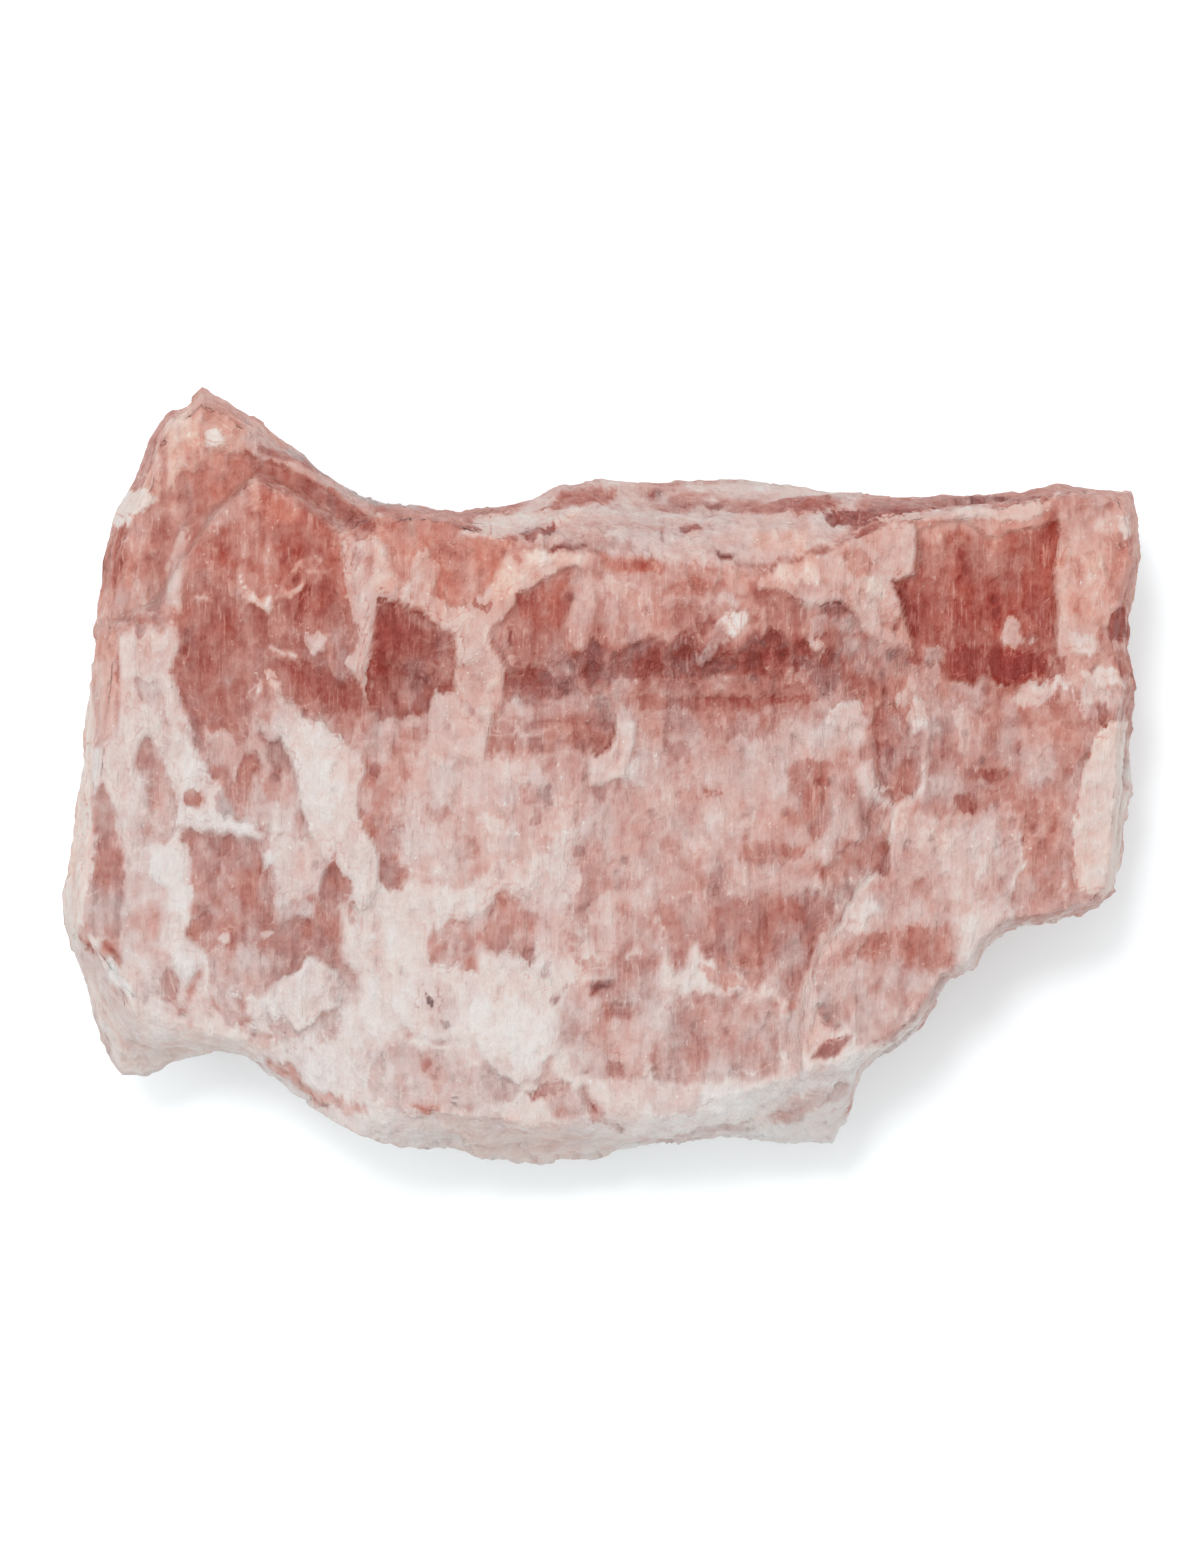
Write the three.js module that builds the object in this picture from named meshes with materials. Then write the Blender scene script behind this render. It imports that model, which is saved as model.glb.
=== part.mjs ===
// A rough lump of banded rose calcite, broken on every side, lying on its flattest face.
// It formed as one piece, so it is one solid. Millimetres, +Z up, X along its length.
// The origin is under the middle of its box, on the surface that it rests on.
//
// The lump is a gridded box bent to shape, every point carried by one mapping:
//   top side    -> the broad broken face, inside its rim
//   four walls  -> a bevel from the rim out to the outline, then down and in to the foot
//   bottom side -> the underside, pressed flat where it rests
// Fracture planes then cut the walls: what stands past a plane is moved onto it.
import * as THREE from "three";
import { mergeVertices } from "three/addons/utils/BufferGeometryUtils.js";

// Driving dimensions
const FACE_HEIGHT = 33.5; // the middle of the broad face above the resting surface
const OUTLINE_HEIGHT = 20; // the outline, which is the widest level, above the resting surface
const OUTLINE_WANDER = 3; // how far that level wanders up and down
const FRONT_RAISE = 4; // how much higher it runs along the front
const BEVEL_ROUNDING = 1.7; // the power of the way out that the bevel falls by
const FOOT = { share: 0.96, tuck: 0.1 }; // its size by the outline's, and how much less at left
const UNDERSIDE = { lift: 1.5, tip: 6.5 }; // how far its edge rises, and how much more at left
const RESTING_SHARE = 0.6; // the share of the underside that is pressed flat
const GRID = { length: 38, width: 26, height: 12 };
const BEVEL_SHARE = 1 / 3; // the share of a wall's rows that its bevel takes

// The outline and the rim seen from above, side by side: [outline x, y, rim x, y].
// Four sides run from corner to corner. The upper left corner is the peak.
const LEFT_SIDE = [
  [-40, -25, -40.4, -15.8], [-41.8, -22.4, -41.4, -14.9], [-43, -17.4, -42.2, -13.8],
  [-45, -12.4, -42.8, -12], [-45, -9.8, -42.8, -9.4], [-44, -5, -42.2, -5],
  [-43.2, 1, -41.4, 1], [-42.8, 7, -40.8, 7], [-42, 14.5, -40.2, 14.4],
  [-41.2, 19, -39.6, 18.8], [-40.2, 22.4, -38.6, 21.6], [-38.9, 24.6, -37.4, 24],
  [-37.8, 28, -36.6, 27.2], [-36.4, 30.2, -35.4, 29.2], [-34.6, 31, -34.2, 30],
  [-33.2, 32.4, -33.2, 31],
];
const RIGHT_SIDE = [
  [43, -9.6, 41.8, -9], [43.6, -6, 42.2, -5.8], [44.2, -1, 42.6, -1], [44.4, 3, 42.6, 3.2],
  [44.8, 7.2, 43.1, 7.4], [44.1, 11, 42.4, 11.2], [44.3, 15, 42.7, 15],
  [45, 18, 43.4, 17.8], [45, 21.6, 43.7, 20.8], [44.4, 23.9, 43, 22.8],
];
const BOTTOM_SIDE = [
  [-40, -25, -40.4, -15.8], [-37.6, -25.1, -38.8, -18.2], [-35, -23.8, -36.4, -20],
  [-32, -23.1, -32.6, -21], [-29.6, -23.5, -29.8, -21.6], [-26.8, -25.6, -26.6, -22.8],
  [-23.4, -28, -23, -24.6], [-20, -29.8, -19.8, -26.2], [-16.8, -31, -16.4, -27.2],
  [-12, -31.2, -11.8, -28], [-9.8, -32.2, -9, -28.2], [-5, -32.4, -4.8, -28.6],
  [0, -31.8, 0, -27.3], [5, -30.6, 5.2, -27.4], [11.6, -30.1, 11.2, -26.2],
  [15, -30.8, 14.2, -25.2], [19.4, -30.8, 17.4, -24.2], [21.2, -27.8, 19.4, -23.4],
  [21.8, -24.8, 21.4, -22.6], [25.3, -22, 24.4, -20.9], [27, -20.4, 26.2, -19.4],
  [28.8, -17.2, 28, -16.4], [31.2, -16.2, 30.4, -15], [32.2, -14.2, 31.4, -13.2],
  [34, -12.8, 33.6, -11.7], [38.2, -12.1, 37.6, -11.1], [41.4, -11, 40.8, -10.2],
  [43, -9.6, 41.8, -9],
];
const TOP_SIDE = [
  [-33.2, 32.4, -33.2, 31], [-30.8, 31, -31, 29.8], [-28.4, 29.7, -28.6, 28],
  [-26.6, 28.1, -26.6, 26.2], [-24.8, 27, -24.6, 25], [-23.2, 25.6, -22.8, 23.6],
  [-20.4, 23.8, -20.2, 21.9], [-18.2, 22.9, -18.2, 21.4], [-15, 22.6, -15, 21.4],
  [-11.8, 22.1, -11.8, 20.9], [-8.4, 22.7, -8.4, 19.4], [-6, 23.3, -6, 18.9],
  [-3.4, 24.5, -3.4, 18.5], [0, 24.8, 0, 18.1], [3.2, 24.5, 3.2, 17.8],
  [6.6, 24.8, 6.6, 17.5], [11.6, 25, 11, 16.9], [14, 24.8, 13.4, 16.4],
  [16.6, 24.4, 16.2, 17.2], [20, 23.8, 19.4, 18.7], [25, 23.4, 24, 21], [30, 23.5, 29.2, 21.9],
  [35, 23.8, 34.4, 22.3], [38.2, 24.5, 37.6, 23], [41.6, 24, 40.8, 23.1], [44.4, 23.9, 43, 22.8],
];

// Steps on the broad face, each a line of [x, y] in order of x, or [y, x] in order of y
const SHOULDER = [
  [-46, 10], [-37, 14], [-35, 17.6], [-32, 21.8], [-28.4, 24.9], [-25, 23],
  [-21.5, 20.3], [-18.6, 21.4], [-16, 30], [46, 60],
];
const SHOULDER_DROP = 3.4; // how far the peak's ledge lies under the shoulder
const BAND_SCARP = { foot: 6.2, brow: 11.6, drop: 1.7, from: -20, to: 21 };
const FLAKE_EDGE = [
  [-21, 16.4], [-16, 17.6], [-10, 20.8], [-6, 23.7], [-2, 24], [3, 22.4], [6, 21.8],
];
const FLAKE_HEIGHT = 1.2;
const TOE = { x: 17, y: -29, reach: 7, depth: 8 }; // a lower layer that shows past the bevel

// Fracture planes: the way each faces, how far it leans under, its distance from the middle
const FRACTURES = [
  { facing: -104, lean: 16, distance: 30 },
  { facing: -57, lean: 30, distance: 28.5 },
  { facing: -14, lean: 22, distance: 40 },
  { facing: 38, lean: 34, distance: 40.5 },
  { facing: 84, lean: 8, distance: 24.5 },
  { facing: 130, lean: 40, distance: 36 },
  { facing: 216, lean: 40, distance: 36 },
];

// 0 below low, 1 above high, and a smooth rise between
const rise = (low, high, value) => THREE.MathUtils.smoothstep(value, low, high);

// The last number of a list of pairs, at a given first number, in straight stretches
function at(pairs, value) {
  const last = pairs.length - 1;
  let i = 1;
  while (i < last && pairs[i][0] < value) i += 1;
  const [x0, y0] = pairs[i - 1];
  const [x1, y1] = pairs[i];
  return y0 + THREE.MathUtils.clamp((value - x0) / (x1 - x0), 0, 1) * (y1 - y0);
}

// One side, walked at the outline's even pace: the outline's point and the rim's beside it
function sideOf(stations) {
  const reached = [0];
  stations.slice(1).forEach(([x, y], i) => {
    reached.push(reached[i] + Math.hypot(x - stations[i][0], y - stations[i][1]));
  });
  const whole = reached.at(-1);
  const tracks = [0, 1, 2, 3].map((k) => stations.map((s, i) => [reached[i] / whole, s[k]]));
  return (share) => {
    const [x, y, rimX, rimY] = tracks.map((track) => at(track, share));
    return { outline: { x, y }, rim: { x: rimX, y: rimY } };
  };
}
const left = sideOf(LEFT_SIDE);
const right = sideOf(RIGHT_SIDE);
const bottom = sideOf(BOTTOM_SIDE);
const top = sideOf(TOP_SIDE);

// A Coons patch in one of the two loops: the two ruled sheets between facing sides,
// less the sheet through the corners
function patch(loop, u, v) {
  const [l, r, b, t] = [left(v)[loop], right(v)[loop], bottom(u)[loop], top(u)[loop]];
  const [lb, rb, lt, rt] = [left(0)[loop], right(0)[loop], left(1)[loop], right(1)[loop]];
  const blend = (key) =>
    (1 - u) * l[key] + u * r[key] + (1 - v) * b[key] + v * t[key] -
    ((1 - u) * (1 - v) * lb[key] + u * (1 - v) * rb[key] +
      (1 - u) * v * lt[key] + u * v * rt[key]);
  return { x: blend("x"), y: blend("y") };
}

// A ramp folded back and forth between -1 and 1, so that crossed folds make flat facets
const fold = (value) => 4 * Math.abs(value - Math.floor(value + 0.5)) - 1;
const facets = (x, y, z) =>
  fold(0.031 * x + 0.017 * y + 0.043 * z) +
  fold(-0.023 * x + 0.041 * y - 0.029 * z + 0.27) +
  fold(0.047 * x - 0.013 * y + 0.027 * z + 0.65);

// The height of the widest level, higher in front but lower along the toe
function outlineHeight(x, y) {
  const toe = 1 - rise(0, TOE.reach, Math.hypot(x - TOE.x, y - TOE.y));
  const wander = OUTLINE_WANDER * facets(0.7 * x, 0.7 * y, 9);
  const front = FRONT_RAISE * rise(14, 24, -y);
  return OUTLINE_HEIGHT + wander + front - TOE.depth * toe;
}

// The broad face: nearly level, stepped along the dark band, the shoulder and the flake's edge
function faceHeight(x, y) {
  const ridge =
    BAND_SCARP.drop * rise(BAND_SCARP.foot, BAND_SCARP.brow, y) *
    rise(BAND_SCARP.from - 3, BAND_SCARP.from + 3, x) *
    (1 - rise(BAND_SCARP.to - 3, BAND_SCARP.to + 3, x));
  const ledge = SHOULDER_DROP * rise(-0.5, 0.9, y - at(SHOULDER, x));
  const flake = FLAKE_HEIGHT * rise(-0.6, 0.6, x - at(FLAKE_EDGE, y)) * (1 - rise(3, 8, y));
  const crown = 0.0011 * x * x + 0.0009 * y * y;
  return FACE_HEIGHT - crown + ridge - ledge + flake + 0.35 * facets(x, y, 0);
}

// Moves a point that stands past a fracture plane onto it, by a share of the way
function fracture(point, share) {
  for (const { facing, lean, distance } of FRACTURES) {
    const turn = THREE.MathUtils.degToRad(facing);
    const down = THREE.MathUtils.degToRad(lean);
    const normal = new THREE.Vector3(
      Math.cos(turn) * Math.cos(down), Math.sin(turn) * Math.cos(down), -Math.sin(down));
    const middle = new THREE.Vector3(0, 0, OUTLINE_HEIGHT);
    const past = normal.dot(point.clone().sub(middle)) - distance;
    if (past > 0) point.addScaledVector(normal, -past * share);
  }
  return point;
}

// Carries one point of the box, each number from -1 to 1, to its place on the lump
function place(a, b, c) {
  const [u, v, down] = [(a + 1) / 2, (b + 1) / 2, (1 - c) / 2];
  const rim = patch("rim", u, v);
  const rimHeight = faceHeight(rim.x, rim.y);
  if (down === 0) return new THREE.Vector3(rim.x, rim.y, rimHeight);
  const outline = patch("outline", u, v);
  const { x, y } = outline;
  if (down <= BEVEL_SHARE) {
    const along = down / BEVEL_SHARE;
    const fall = along ** BEVEL_ROUNDING;
    const height = THREE.MathUtils.lerp(rimHeight, outlineHeight(x, y), fall);
    const out = along - 0.12 * Math.sin(Math.PI * along) * facets(x, y, height);
    return new THREE.Vector3(
      THREE.MathUtils.lerp(rim.x, x, out), THREE.MathUtils.lerp(rim.y, y, out), height);
  }
  const depth = (down - BEVEL_SHARE) / (1 - BEVEL_SHARE);
  const edge = Math.max(Math.abs(a), Math.abs(b));
  const tip = rise(-45, 45, -x - 0.6 * y);
  const lift = UNDERSIDE.lift + UNDERSIDE.tip * tip;
  const under = lift * rise(RESTING_SHARE, 1.2, edge + 0.06 * facets(x, y, 0));
  const dent = 0.018 * (1.5 + facets(x, y, 25 * depth)) * Math.sin(Math.PI * depth);
  const share = 1 - (1 - FOOT.share + FOOT.tuck * tip) * depth ** 1.6 - dent;
  const height = THREE.MathUtils.lerp(outlineHeight(x, y), under, depth);
  return fracture(new THREE.Vector3(share * x, share * y, height), rise(-0.1, 0.6, depth));
}

function lumpGeometry() {
  const box = new THREE.BoxGeometry(2, 2, 2, GRID.length, GRID.width, GRID.height);
  box.deleteAttribute("normal");
  box.deleteAttribute("uv");
  const geometry = mergeVertices(box, 1e-4);
  const points = geometry.getAttribute("position");
  for (let i = 0; i < points.count; i += 1) {
    const p = place(points.getX(i), points.getY(i), points.getZ(i));
    points.setXYZ(i, p.x, p.y, Math.max(0, p.z));
  }
  geometry.computeVertexNormals();
  return geometry;
}

const calcite = new THREE.MeshStandardMaterial({
  color: 0xc58d85,
  roughness: 0.55,
  metalness: 0,
  flatShading: true,
});
const lump = new THREE.Mesh(lumpGeometry(), calcite);
lump.name = "calcite_lump";

const part = new THREE.Group();
part.add(lump);

export default part;
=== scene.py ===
"""A rough lump of banded rose calcite, broken on every side, lying on its flattest face.

Lengths are worked out in millimetres and put into the mesh in metres.
X runs along the lump, Y along its fibres, and Z is up. The stone rests on z = 0.
"""

import math

import bpy
import numpy as np
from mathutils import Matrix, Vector


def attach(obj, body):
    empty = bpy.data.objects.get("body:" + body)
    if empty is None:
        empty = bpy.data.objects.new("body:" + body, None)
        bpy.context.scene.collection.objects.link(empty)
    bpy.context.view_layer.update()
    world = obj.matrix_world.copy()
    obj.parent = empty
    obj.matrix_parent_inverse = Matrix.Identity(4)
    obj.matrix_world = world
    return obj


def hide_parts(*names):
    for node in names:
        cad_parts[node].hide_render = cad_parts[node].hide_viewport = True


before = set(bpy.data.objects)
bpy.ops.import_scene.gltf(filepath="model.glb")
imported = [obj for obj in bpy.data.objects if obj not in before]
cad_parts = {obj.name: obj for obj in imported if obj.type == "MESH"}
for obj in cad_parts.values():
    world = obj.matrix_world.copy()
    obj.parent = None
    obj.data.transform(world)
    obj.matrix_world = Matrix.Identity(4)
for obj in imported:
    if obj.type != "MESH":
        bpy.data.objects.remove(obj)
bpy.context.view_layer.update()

# ---------------------------------------------------------------- the lump's main shape

# The broad face and the outline, which is the widest level: their heights, and how far they wander
FACE_HEIGHT, FACE_WANDER = 33.5, 0.35
OUTLINE_HEIGHT, OUTLINE_WANDER = 20.0, 3.0
# The scarp along the dark band: Y at its foot and brow, its drop, X at its ends, and their fade
SCARP_FOOT, SCARP_BROW, SCARP_DROP = 6.2, 11.6, 1.7
SCARP_ENDS, SCARP_FADE = (-20, 21), 3
# How much higher the outline runs along the front
FRONT_RAISE = 4.0
# The toe that sticks out in front: its tip, its reach round that, and the outline's drop there
TOE = (17, -29)
TOE_REACH, TOE_DROP = 7, 8
# The power of the way out that the bevel falls by, and how far its facets stand in and out
BEVEL_ROUNDING, BEVEL_BULGE = 1.7, 0.12
# The foot's size beside the outline's, and how much more it is tucked in at the front left
FOOT_SHARE, FOOT_TUCK = 0.96, 0.1
# How high the foot's edge is lifted, and how much higher at the front left
FOOT_LIFT, FOOT_TIP = 1.5, 6.5
# Where the lift begins, as a share of the way out from the middle underneath
RESTING_SHARE = 0.6
DENT_DEPTH = 0.018
TOP_CELLS = (320, 156)
BEVEL_ROWS, WALL_ROWS, UNDER_ROWS = 26, 34, 17
UNDER_CROWDING = 1.7
# The level counts from 0 at the rim to 1 at the outline, and grows by this much down the wall
WALL_LEVELS = 0.7

# Outline x, y and rim x, y, side by side
LEFT_SIDE = [
    (-40, -25, -40.4, -15.8), (-41.8, -22.4, -41.4, -14.9), (-43, -17.4, -42.2, -13.8),
    (-45, -12.4, -42.8, -12), (-45, -9.8, -42.8, -9.4), (-44, -5, -42.2, -5),
    (-43.2, 1, -41.4, 1), (-42.8, 7, -40.8, 7), (-42, 14.5, -40.2, 14.4),
    (-41.2, 19, -39.6, 18.8), (-40.2, 22.4, -38.6, 21.6), (-38.9, 24.6, -37.4, 24),
    (-37.8, 28, -36.6, 27.2), (-36.4, 30.2, -35.4, 29.2), (-34.6, 31, -34.2, 30),
    (-33.2, 32.4, -33.2, 31),
]
RIGHT_SIDE = [
    (43, -9.6, 41.8, -9), (43.6, -6, 42.2, -5.8), (44.2, -1, 42.6, -1), (44.4, 3, 42.6, 3.2),
    (44.8, 7.2, 43.1, 7.4), (44.1, 11, 42.4, 11.2), (44.3, 15, 42.7, 15),
    (45, 18, 43.4, 17.8), (45, 21.6, 43.7, 20.8), (44.4, 23.9, 43, 22.8),
]
BOTTOM_SIDE = [
    (-40, -25, -40.4, -15.8), (-37.6, -25.1, -38.8, -18.2), (-35, -23.8, -36.4, -20),
    (-32, -23.1, -32.6, -21), (-29.6, -23.5, -29.8, -21.6), (-26.8, -25.6, -26.6, -22.8),
    (-23.4, -28, -23, -24.6), (-20, -29.8, -19.8, -26.2), (-16.8, -31, -16.4, -27.2),
    (-12, -31.2, -11.8, -28), (-9.8, -32.2, -9, -28.2), (-5, -32.4, -4.8, -28.6),
    (0, -31.8, 0, -27.3), (5, -30.6, 5.2, -27.4), (11.6, -30.1, 11.2, -26.2),
    (15, -30.8, 14.2, -25.2), (19.4, -30.8, 17.4, -24.2), (21.2, -27.8, 19.4, -23.4),
    (21.8, -24.8, 21.4, -22.6), (25.3, -22, 24.4, -20.9), (27, -20.4, 26.2, -19.4),
    (28.8, -17.2, 28, -16.4), (31.2, -16.2, 30.4, -15), (32.2, -14.2, 31.4, -13.2),
    (34, -12.8, 33.6, -11.7), (38.2, -12.1, 37.6, -11.1), (41.4, -11, 40.8, -10.2),
    (43, -9.6, 41.8, -9),
]
TOP_SIDE = [
    (-33.2, 32.4, -33.2, 31), (-30.8, 31, -31, 29.8), (-28.4, 29.7, -28.6, 28),
    (-26.6, 28.1, -26.6, 26.2), (-24.8, 27, -24.6, 25), (-23.2, 25.6, -22.8, 23.6),
    (-20.4, 23.8, -20.2, 21.9), (-18.2, 22.9, -18.2, 21.4), (-15, 22.6, -15, 21.4),
    (-11.8, 22.1, -11.8, 20.9), (-8.4, 22.7, -8.4, 19.4), (-6, 23.3, -6, 18.9),
    (-3.4, 24.5, -3.4, 18.5), (0, 24.8, 0, 18.1), (3.2, 24.5, 3.2, 17.8),
    (6.6, 24.8, 6.6, 17.5), (11.6, 25, 11, 16.9), (14, 24.8, 13.4, 16.4),
    (16.6, 24.4, 16.2, 17.2), (20, 23.8, 19.4, 18.7), (25, 23.4, 24, 21),
    (30, 23.5, 29.2, 21.9), (35, 23.8, 34.4, 22.3), (38.2, 24.5, 37.6, 23),
    (41.6, 24, 40.8, 23.1), (44.4, 23.9, 43, 22.8),
]
SHOULDER = [
    (-46, 10), (-37, 14), (-35, 17.6), (-32, 21.8), (-28.4, 24.9), (-25, 23),
    (-21.5, 20.3), (-18.6, 21.4), (-16, 30), (46, 60),
]
SHOULDER_DROP = 3.4
FLAKE_EDGE = [(-21, 16.4), (-16, 17.6), (-10, 20.8), (-6, 23.7), (-2, 24), (3, 22.4), (6, 21.8)]
FLAKE_HEIGHT = 1.2
# The way each fracture plane faces, how far it leans under, its distance from the middle
FRACTURES = [
    (-104, 16, 30), (-57, 30, 28.5), (-14, 22, 40), (38, 34, 40.5),
    (84, 8, 24.5), (130, 40, 36), (216, 40, 36),
]


def rise(low, high, value):
    """0 below low, 1 above high, and the cubic 3t^2 - 2t^3 between."""
    t = np.clip((value - low) / (high - low), 0, 1)
    return t * t * (3 - 2 * t)


def at(pairs, value):
    """The second number of a list of pairs at a first number, in straight stretches."""
    xs, ys = np.array(pairs, float).T
    return np.interp(value, xs, ys)


def walk(stations, share):
    """Outline x, y and rim x, y along one side, at a share of its outline's length."""
    s = np.array(stations, float)
    steps = np.hypot(np.diff(s[:, 0]), np.diff(s[:, 1]))
    reached = np.concatenate([[0], np.cumsum(steps)])
    return np.stack([np.interp(share * reached[-1], reached, s[:, k]) for k in range(4)], -1)


def patch(u, v):
    """Coons patch: the two ruled sheets between facing sides, less the corners' sheet."""
    left, right = walk(LEFT_SIDE, v), walk(RIGHT_SIDE, v)
    bottom, top = walk(BOTTOM_SIDE, u), walk(TOP_SIDE, u)
    corners = [np.array(side[i], float) for side in (BOTTOM_SIDE, TOP_SIDE) for i in (0, -1)]
    u, v = u[..., None], v[..., None]
    ruled = (1 - u) * left + u * right + (1 - v) * bottom + v * top
    low = (1 - u) * corners[0] + u * corners[1]
    high = (1 - u) * corners[2] + u * corners[3]
    return ruled - (1 - v) * low - v * high


def facets(x, y, z):
    """Three crossed ramps, each folded back and forth between -1 and 1."""
    total = 0
    for a, b, c, d in (
        (0.031, 0.017, 0.043, 0), (-0.023, 0.041, -0.029, 0.27), (0.047, -0.013, 0.027, 0.65),
    ):
        ramp = a * x + b * y + c * z + d
        total = total + 4 * np.abs(ramp - np.floor(ramp + 0.5)) - 1
    return total


def outline_height(x, y):
    """The height of the widest level: a wandering level, higher in front, lower at the toe."""
    toe = 1 - rise(0, TOE_REACH, np.hypot(x - TOE[0], y - TOE[1]))
    front = FRONT_RAISE * rise(14, 24, -y)
    wander = OUTLINE_WANDER * facets(0.7 * x, 0.7 * y, 9)
    return OUTLINE_HEIGHT + wander + front - TOE_DROP * toe


def face_height(x, y):
    """The broad face: a low crown with a scarp, a shoulder's ledge and a raised flake."""
    begins, ends = (rise(end - SCARP_FADE, end + SCARP_FADE, x) for end in SCARP_ENDS)
    ridge = SCARP_DROP * rise(SCARP_FOOT, SCARP_BROW, y) * begins * (1 - ends)
    ledge = SHOULDER_DROP * rise(-0.5, 0.9, y - at(SHOULDER, x))
    flake = FLAKE_HEIGHT * rise(-0.6, 0.6, x - at(FLAKE_EDGE, y)) * (1 - rise(3, 8, y))
    crown = 0.0011 * x * x + 0.0009 * y * y
    return FACE_HEIGHT - crown + ridge - ledge + flake + FACE_WANDER * facets(x, y, 0)


def fracture(p, share):
    """Moves what stands past each fracture plane towards it, by a share of the way.

    A plane's facing and lean give its normal, which points down by the lean.
    """
    for facing, lean, distance in FRACTURES:
        turn, down = math.radians(facing), math.radians(lean)
        normal = np.array([
            math.cos(turn) * math.cos(down), math.sin(turn) * math.cos(down), -math.sin(down)])
        past = np.maximum(0, (p - (0, 0, OUTLINE_HEIGHT)) @ normal - distance)
        p = p - (past * share)[..., None] * normal
    return p


def bevel(u, v, along):
    """From the rim out to the outline, falling as a power of the way; facets bulge and dip it."""
    x, y, rim_x, rim_y = np.moveaxis(patch(u, v), -1, 0)
    fall = along**BEVEL_ROUNDING
    height = (1 - fall) * face_height(rim_x, rim_y) + fall * outline_height(x, y)
    out = along - BEVEL_BULGE * np.sin(np.pi * along) * facets(x, y, height)
    return np.stack([rim_x + out * (x - rim_x), rim_y + out * (y - rim_y), height], -1)


def wall(u, v, depth):
    """From the outline down to the foot, drawn in and dented; u, v inside it: the underside.

    The foot is tucked in and lifted by more towards the left and the front.
    """
    x, y = np.moveaxis(patch(u, v)[..., :2], -1, 0)
    edge = np.maximum(np.abs(2 * u - 1), np.abs(2 * v - 1))
    tip = rise(-45, 45, -x - 0.6 * y)
    under = (FOOT_LIFT + FOOT_TIP * tip) * rise(RESTING_SHARE, 1.2, edge + 0.06 * facets(x, y, 0))
    dent = DENT_DEPTH * (1.5 + facets(x, y, 25 * depth)) * np.sin(np.pi * depth)
    share = 1 - (1 - FOOT_SHARE + FOOT_TUCK * tip) * depth**1.6 - dent
    height = (1 - depth) * outline_height(x, y) + depth * under
    return fracture(np.stack([share * x, share * y, height], -1), rise(-0.1, 0.6, depth))


def lump_grid():
    """Points, quads, triangles and levels of the closed lump.

    A grid for the broad face, then loops below it down to one last point. From the wall
    down a loop has half as many points, and where the number halves three triangles stand
    in for each quad. The underside's loops crowd outwards.
    """
    nx, ny = TOP_CELLS
    u, v = np.meshgrid(np.linspace(0, 1, nx + 1), np.linspace(0, 1, ny + 1))
    rim = patch(u, v)[..., 2:]
    face = np.concatenate([rim, face_height(rim[..., 0], rim[..., 1])[..., None]], -1)
    number = np.arange((nx + 1) * (ny + 1)).reshape(ny + 1, nx + 1)
    loop = np.concatenate([number[0, :-1], number[:-1, -1], number[-1, :0:-1], number[:0:-1, 0]])
    loop_u, loop_v = u.ravel()[loop], v.ravel()[loop]
    low_u, low_v = loop_u[::2], loop_v[::2]
    rings = []
    for share in np.arange(1, BEVEL_ROWS + 1) / BEVEL_ROWS:
        rings.append((bevel, loop_u, loop_v, share, share))
    for share in np.arange(1, WALL_ROWS + 1) / WALL_ROWS:
        rings.append((wall, low_u, low_v, share, 1 + WALL_LEVELS * share))
    for share in np.arange(1, UNDER_ROWS) / UNDER_ROWS:
        size = 1 - share**UNDER_CROWDING
        ring_u, ring_v = 0.5 + size * (low_u - 0.5), 0.5 + size * (low_v - 0.5)
        rings.append((wall, ring_u, ring_v, 1, 1 + WALL_LEVELS))
    points, rows, levels = [face.reshape(-1, 3)], [loop], [np.zeros(number.size)]
    count = number.size
    for shape, ring_u, ring_v, along, level in rings:
        points.append(shape(ring_u, ring_v, np.full(ring_u.shape, float(along))))
        rows.append(np.arange(count, count + ring_u.size))
        levels.append(np.full(ring_u.shape, float(level)))
        count += ring_u.size
    half = np.array([0.5])
    points.append(wall(half, half, np.array([1.0])))
    levels.append(levels[-1][:1])
    quads = [np.stack([
        number[:-1, :-1], number[:-1, 1:], number[1:, 1:], number[1:, :-1]], -1).reshape(-1, 4)]
    last = rows[-1]
    triangles = [np.stack([last, np.full(last.size, count), np.roll(last, -1)], -1)]
    for above, below in zip(rows[:-1], rows[1:]):
        upper, after = above[::above.size // below.size], np.roll(below, -1)
        if upper.size == above.size:
            quads.append(np.stack([upper, below, after, np.roll(upper, -1)], -1))
            continue
        between, beyond = above[1::2], np.roll(upper, -1)
        for a, b, c in (upper, below, between), (between, below, after), (between, after, beyond):
            triangles.append(np.stack([a, b, c], -1))
    points = np.concatenate(points)
    points[:, 2] = np.maximum(0, points[:, 2])
    return points, np.concatenate(quads), np.concatenate(triangles), np.concatenate(levels)


# ---------------------------------------------------------------- noise

def scatter(ix, iy, iz, seed):
    """A fixed random number from 0 to 1 for each whole-number place: bits mixed by products."""
    h = (ix * 73856093) ^ (iy * 19349663) ^ (iz * 83492791) ^ (seed * 2654435761 % 4294967296)
    h = (h ^ (h >> 13)) * 1274126177 & 0xFFFFFFFF
    h = (h ^ (h >> 16)) * 2246822519 & 0xFFFFFFFF
    return (h ^ (h >> 15)) / 4294967296


def noise(x, y, z, seed):
    """Random numbers on a unit lattice, blended by cubic steps between the eight corners."""
    p = np.stack(np.broadcast_arrays(x, y, z)).astype(float)
    cell = np.floor(p).astype(np.int64)
    t = p - cell
    t = t * t * (3 - 2 * t)
    total = 0
    for i in (0, 1):
        for j in (0, 1):
            for k in (0, 1):
                weight = (t[0] if i else 1 - t[0]) * (t[1] if j else 1 - t[1])
                weight = weight * (t[2] if k else 1 - t[2])
                total = total + weight * scatter(cell[0] + i, cell[1] + j, cell[2] + k, seed)
    return 2 * total - 1


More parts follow.
